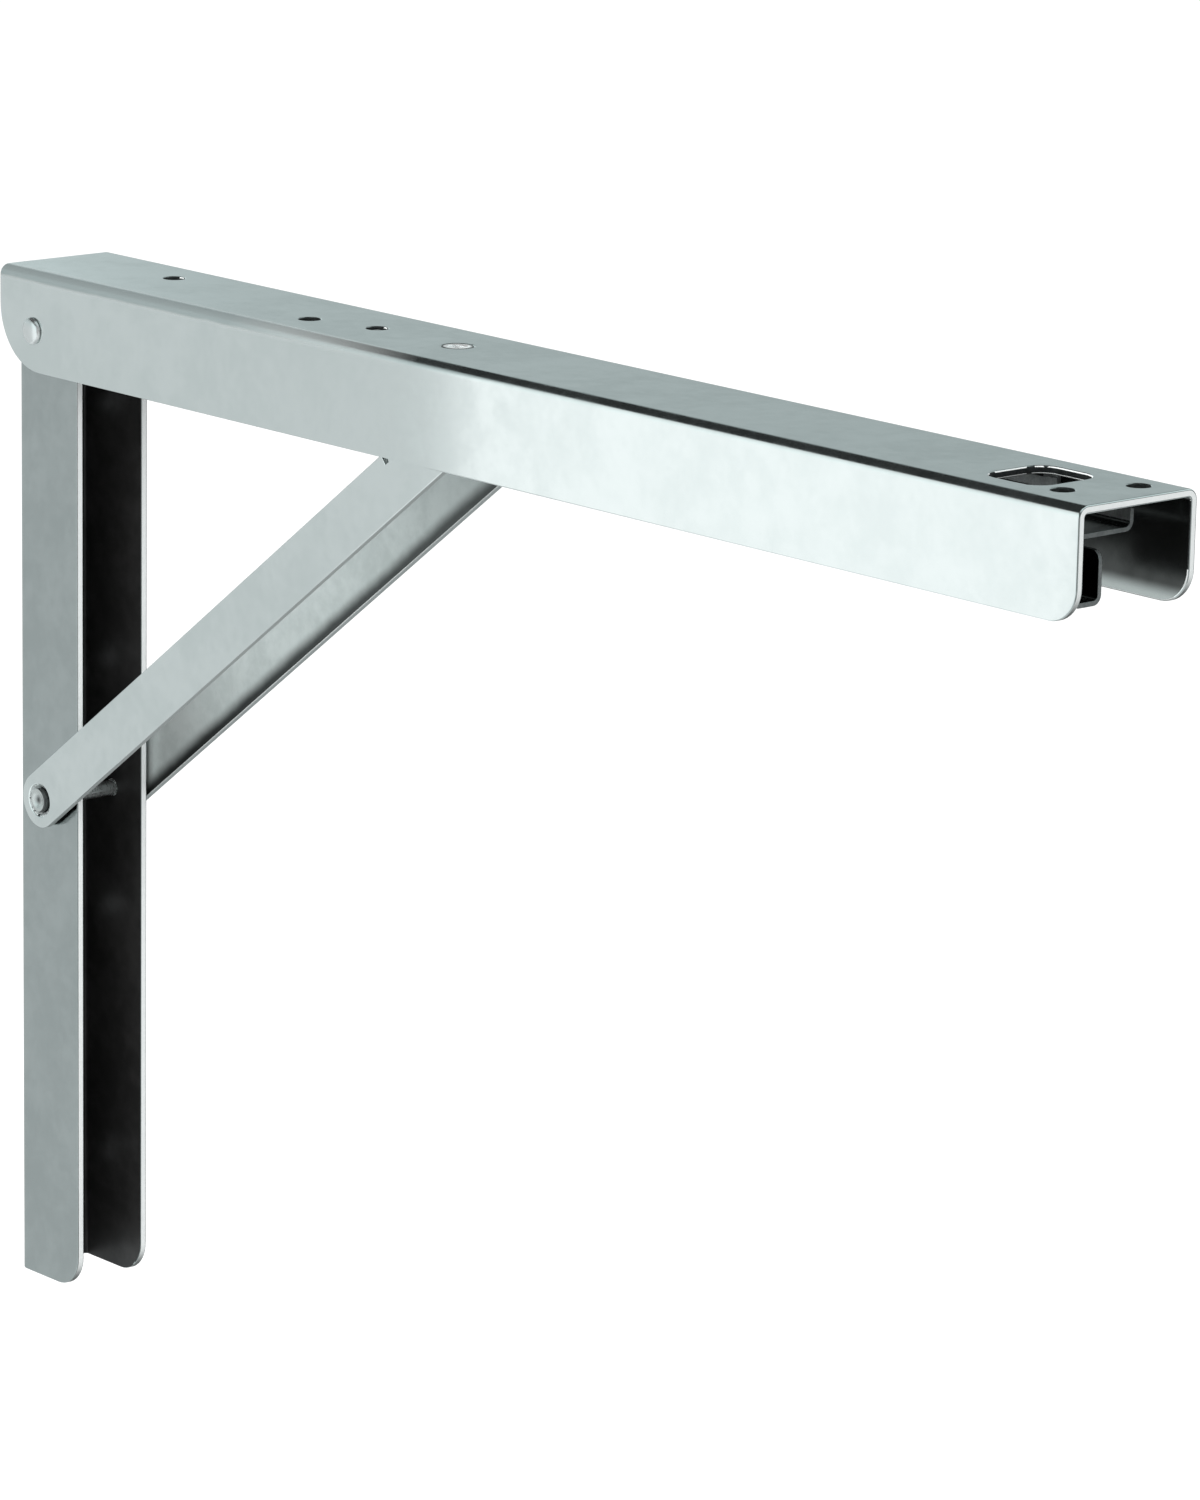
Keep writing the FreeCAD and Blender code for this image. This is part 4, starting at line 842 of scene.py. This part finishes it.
@dataclass
class SwingArm:
    """The folded arm under the leaf, with the slide guide inside it and the guide's eyelet."""

    finishes: Finishes
    sheet: float = 2.0 * MILLIMETRE
    edge_radius: float = 0.4 * MILLIMETRE
    guide_sheet: float = 1.2 * MILLIMETRE
    guide_edge_radius: float = 0.12 * MILLIMETRE

    def dress(self) -> list[bpy.types.Object]:
        """Dress the arm and what is fixed inside it.

        Returns:
            The objects that are shown.
        """
        finishes = self.finishes
        cut = finishes.cut(finishes.edge, finishes.arm_inside, finishes.edge)
        arm = Piece("arm", "arm", "arm_zinc", Shape.FOLDED_SHEET, finishes.arm, cut,
                    self.sheet, self.edge_radius)
        cut = finishes.cut(finishes.pressing_edge, finishes.pressing_inside, finishes.pressing_edge)
        guide = Piece("guide_channel", "arm", "guide_zinc", Shape.FOLDED_SHEET, finishes.pressing,
                      cut, self.guide_sheet, self.guide_edge_radius)
        shown = [arm.dress(), guide.dress()]
        for node, slot, skin in (("guide_rivet", "rivet_zinc", finishes.eyelet),
                                 ("lever_pin", "pin_steel", finishes.turned),
                                 ("lever_spring", "spring_steel", finishes.turned)):
            shape = Shape.WIRE if node == "lever_spring" else Shape.TURNED
            shown.append(Piece(node, "arm", slot, shape, skin).dress())
        return shown


@dataclass
class SlidingStrut:
    """The folded strut with the slide pin and the latch roller at its upper end."""

    finishes: Finishes
    sheet: float = 2.0 * MILLIMETRE
    edge_radius: float = 0.22 * MILLIMETRE

    def dress(self) -> list[bpy.types.Object]:
        """Dress the strut, its pin and its roller.

        Returns:
            The objects that are shown.
        """
        finishes = self.finishes
        cut = finishes.cut(finishes.strut_edge, finishes.strut_inside, finishes.edge,
                           bore=finishes.strut)
        strut = Piece("strut", "strut", "strut_zinc", Shape.FOLDED_SHEET, finishes.strut, cut,
                      self.sheet, self.edge_radius)
        shown = [strut.dress()]
        for node, slot in (("slide_pin", "pin_steel"), ("latch_roller", "tube_steel")):
            shown.append(Piece(node, "strut", slot, Shape.TURNED, finishes.turned).dress())
        return shown


@dataclass
class ReleaseLatch:
    """The folded release lever with its finger hook, and the latch hook riveted on its rear end."""

    finishes: Finishes
    lever_sheet: float = 1.2 * MILLIMETRE
    latch_sheet: float = 2.0 * MILLIMETRE
    edge_radius: float = 0.12 * MILLIMETRE

    def dress(self) -> list[bpy.types.Object]:
        """Dress the lever, the hook and their rivets.

        Returns:
            The objects that are shown.
        """
        finishes = self.finishes
        cut = finishes.cut(finishes.pressing_edge, finishes.pressing_inside, finishes.pressing_edge)
        lever = Piece("release_lever", "lever", "lever_zinc", Shape.FOLDED_SHEET,
                      finishes.pressing, cut, self.lever_sheet, self.edge_radius)
        hook = Piece("latch_hook", "lever", "latch_steel", Shape.FOLDED_SHEET,
                     finishes.pressing, cut, self.latch_sheet, self.edge_radius)
        rivets = Piece("latch_rivets", "lever", "rivet_zinc", Shape.TURNED, finishes.rivet)
        return [lever.dress(), hook.dress(), rivets.dress()]


@dataclass(frozen=True)
class Panel:
    """A lit panel far off, which only polished metal sees.

    Angles are in degrees: the bearing turns from +X towards +Y, the height is above the horizon.
    The light of panels that overlap adds up.
    """

    bearing: float
    height: float
    half_width: float
    half_height: float
    softness: float
    strength: float


@dataclass(frozen=True)
class SoftBox:
    """A rectangular lamp that faces a point, and that polished metal may show."""

    name: str
    place: Triple
    aim: Triple
    width: float
    depth: float
    power: float
    in_metal: bool


@dataclass
class Studio:
    """The pale floor, the white room, the soft lamps and the camera.

    The lens is given in pixels of a picture that is `photo_height` pixels high.
    """

    photo_height: int = 1500
    focal_pixels: float = 6321.8
    sensor: float = 36.0
    nearest: float = 0.01
    eye: Triple = (1.34642, -0.98651, 0.28516)
    right: Triple = (0.656809, 0.753840, 0.018098)
    up: Triple = (-0.188534, 0.140932, 0.971907)
    back: Triple = (0.730109, -0.641766, 0.234686)
    floor_drop: float = 0.30
    floor_size: float = 6.0
    floor_grain: float = 90.0
    floor_dark: Colour = (0.44, 0.44, 0.44)
    floor_light: Colour = (0.46, 0.46, 0.46)
    floor_glow: float = 0.62
    room_light: float = 1.0
    room_shade: float = 0.02
    room_tint: Colour = (0.94, 1.0, 1.01)
    upper_tint: Colour = (0.87, 1.0, 1.01)
    upper_range: tuple[float, float] = (-3.0, 8.0)
    # Bearing, height, half width, half height, softness and strength of each panel.
    panels: tuple[Panel, ...] = (
        Panel(191.5, -12, 46.5, 40, 3, 0.40),
        Panel(191.5, -16, 47, 32, 9, 0.22),
        Panel(0, -72, 200, 29, 6, 0.5),
        Panel(105, -28, 42, 17, 6, 0.42),
        Panel(15, -16, 40, 20, 8, 0.32),
        Panel(311, -29, 28, 14, 5, 0.34),
        Panel(120, 8, 38, 16, 6, 0.42),
        Panel(262, -10, 25, 35, 7, 1.0),
        Panel(50, 38, 60, 22, 8, 0.75),
        Panel(310, 62, 50, 20, 8, 0.6),
    )
    lamps: tuple[SoftBox, ...] = (
        SoftBox("key", (0.5, -1.1, 1.2), (0.2, 0.0, -0.1), 0.9, 0.9, 14.0, in_metal=False),
        SoftBox("fill", (-0.9, -0.8, 0.6), (0.2, 0.0, -0.1), 0.8, 0.8, 6.0, in_metal=False),
        SoftBox("near_card", (0.194, -0.12, -0.03), (0.194, 0.0, -0.03), 0.25, 0.26, 0.088,
                in_metal=True),
    )

    def build(self) -> None:
        """Set up everything that isn't part of the object."""
        self.build_room()
        self.build_floor()
        for lamp in self.lamps:
            self.build_lamp(lamp)
        self.build_camera()
        bpy.context.scene.view_settings.view_transform = "Standard"

    def build_room(self) -> None:
        """Make the world: plain white, but to polished metal a dark room with the lit panels."""
        world = bpy.data.worlds.new("studio_room")
        world.use_nodes = True
        bpy.context.scene.world = world
        canvas = NodeCanvas(world.node_tree)
        direction = canvas.add("ShaderNodeTexCoord").outputs["Generated"]
        parts = canvas.add("ShaderNodeSeparateXYZ")
        canvas.feed(parts.inputs["Vector"], direction)
        bearing = canvas.maths("ARCTAN2", parts.outputs["Y"], parts.outputs["X"])
        height = canvas.maths("ARCSINE", parts.outputs["Z"])
        glow: object = self.room_shade
        for panel in self.panels:
            glow = canvas.maths("ADD", glow, self.panel_glow(canvas, panel, bearing, height))
        path = canvas.add("ShaderNodeLightPath")
        metal = canvas.maths("MAXIMUM", path.outputs["Is Glossy Ray"],
                             path.outputs["Is Transmission Ray"])
        seen = canvas.maths("MULTIPLY_ADD", metal,
                            canvas.maths("SUBTRACT", glow, self.room_light), self.room_light)
        camera = path.outputs["Is Camera Ray"]
        strength = canvas.maths("MULTIPLY_ADD", camera, canvas.maths("SUBTRACT", 1.0, seen), seen)
        background = canvas.add("ShaderNodeBackground")
        low, high = (math.radians(angle) for angle in self.upper_range)
        tint = canvas.blend(canvas.spread(height, low, high, 0.0, 1.0),
                            self.room_tint, self.upper_tint)
        canvas.feed(background.inputs["Color"], canvas.blend(metal, (1.0, 1.0, 1.0), tint))
        canvas.feed(background.inputs["Strength"], strength)
        output = canvas.add("ShaderNodeOutputWorld")
        canvas.feed(output.inputs["Surface"], background.outputs["Background"])

    @staticmethod
    def panel_glow(canvas: NodeCanvas, panel: Panel, bearing: Socket, height: Socket) -> Socket:
        """The light of one panel in a direction.

        Args:
            canvas: the world's canvas.
            panel: the panel.
            bearing: the socket of the direction's bearing, in radians.
            height: the socket of the direction's height, in radians.

        Returns:
            The socket of the panel's strength there.
        """
        softness = math.radians(panel.softness)
        glow: object = panel.strength
        turn = canvas.maths("SUBTRACT", bearing, math.radians(panel.bearing))
        aside = canvas.maths("WRAP", turn, math.pi, -math.pi)
        above = canvas.maths("SUBTRACT", height, math.radians(panel.height))
        for offset, half in ((aside, panel.half_width), (above, panel.half_height)):
            far = canvas.maths("ABSOLUTE", offset)
            reach = math.radians(half)
            glow = canvas.maths("MULTIPLY", glow, canvas.spread(
                far, reach - softness, reach + softness, 1.0, 0.0, smooth=True))
        return glow

    def build_floor(self) -> None:
        """Make the pale floor, which keeps the object's shadow."""
        half = self.floor_size / 2
        mesh = bpy.data.meshes.new("floor")
        corners = [(-half, -half, 0), (half, -half, 0), (half, half, 0), (-half, half, 0)]
        mesh.from_pydata(corners, [], [(0, 1, 2, 3)])
        floor = bpy.data.objects.new("floor", mesh)
        floor.location.z = -self.floor_drop
        floor.visible_glossy = False
        bpy.context.scene.collection.objects.link(floor)
        material = bpy.data.materials.new("pale_floor")
        material.use_nodes = True
        canvas = NodeCanvas(material.node_tree)
        place = canvas.add("ShaderNodeTexCoord").outputs["Object"]
        grain = canvas.noise(place, self.floor_grain, detail=3.0)
        paint = canvas.add("ShaderNodeBsdfDiffuse")
        canvas.feed(paint.inputs["Color"], canvas.blend(grain, self.floor_dark, self.floor_light))
        path = canvas.add("ShaderNodeLightPath")
        shine = canvas.add("ShaderNodeEmission")
        canvas.feed(shine.inputs["Strength"],
                    canvas.maths("MULTIPLY", path.outputs["Is Camera Ray"], self.floor_glow))
        both = canvas.add("ShaderNodeAddShader")
        canvas.feed(both.inputs[0], paint.outputs["BSDF"])
        canvas.feed(both.inputs[1], shine.outputs["Emission"])
        output = canvas.add("ShaderNodeOutputMaterial")
        canvas.feed(output.inputs["Surface"], both.outputs["Shader"])
        mesh.materials.append(material)

    @staticmethod
    def build_lamp(box: SoftBox) -> None:
        """Make one soft lamp.

        Args:
            box: the lamp's place, aim, size and power.
        """
        light = bpy.data.lights.new(box.name, "AREA")
        light.shape = "RECTANGLE"
        light.size = box.width
        light.size_y = box.depth
        light.energy = box.power
        lamp = bpy.data.objects.new(box.name, light)
        lamp.location = box.place
        aim = Vector(box.aim) - Vector(box.place)
        lamp.rotation_euler = aim.to_track_quat("-Z", "Y").to_euler()
        lamp.visible_camera = False
        lamp.visible_glossy = box.in_metal
        bpy.context.scene.collection.objects.link(lamp)

    def build_camera(self) -> None:
        """Set the camera at the photograph's place, aim and lens."""
        data = bpy.data.cameras.new("photo_camera")
        data.sensor_fit = "AUTO"
        data.sensor_width = self.sensor
        data.lens = self.focal_pixels / self.photo_height * self.sensor
        data.clip_start = self.nearest
        camera = bpy.data.objects.new("photo_camera", data)
        axes = Matrix((self.right, self.up, self.back)).transposed().to_4x4()
        camera.matrix_world = Matrix.Translation(self.eye) @ axes
        bpy.context.scene.collection.objects.link(camera)
        bpy.context.scene.camera = camera


def main() -> None:
    """Dress each sub-assembly and set up the studio."""
    logging.basicConfig(level=logging.INFO, format="%(message)s")
    finishes = Finishes()
    for kind in (WallRail, SwingArm, SlidingStrut, ReleaseLatch):
        assembly = kind(finishes)
        shown = assembly.dress()
        log.info("%s: %d pieces", kind.__name__, len(shown))
    Studio().build()


if __name__ == "__main__":
    main()
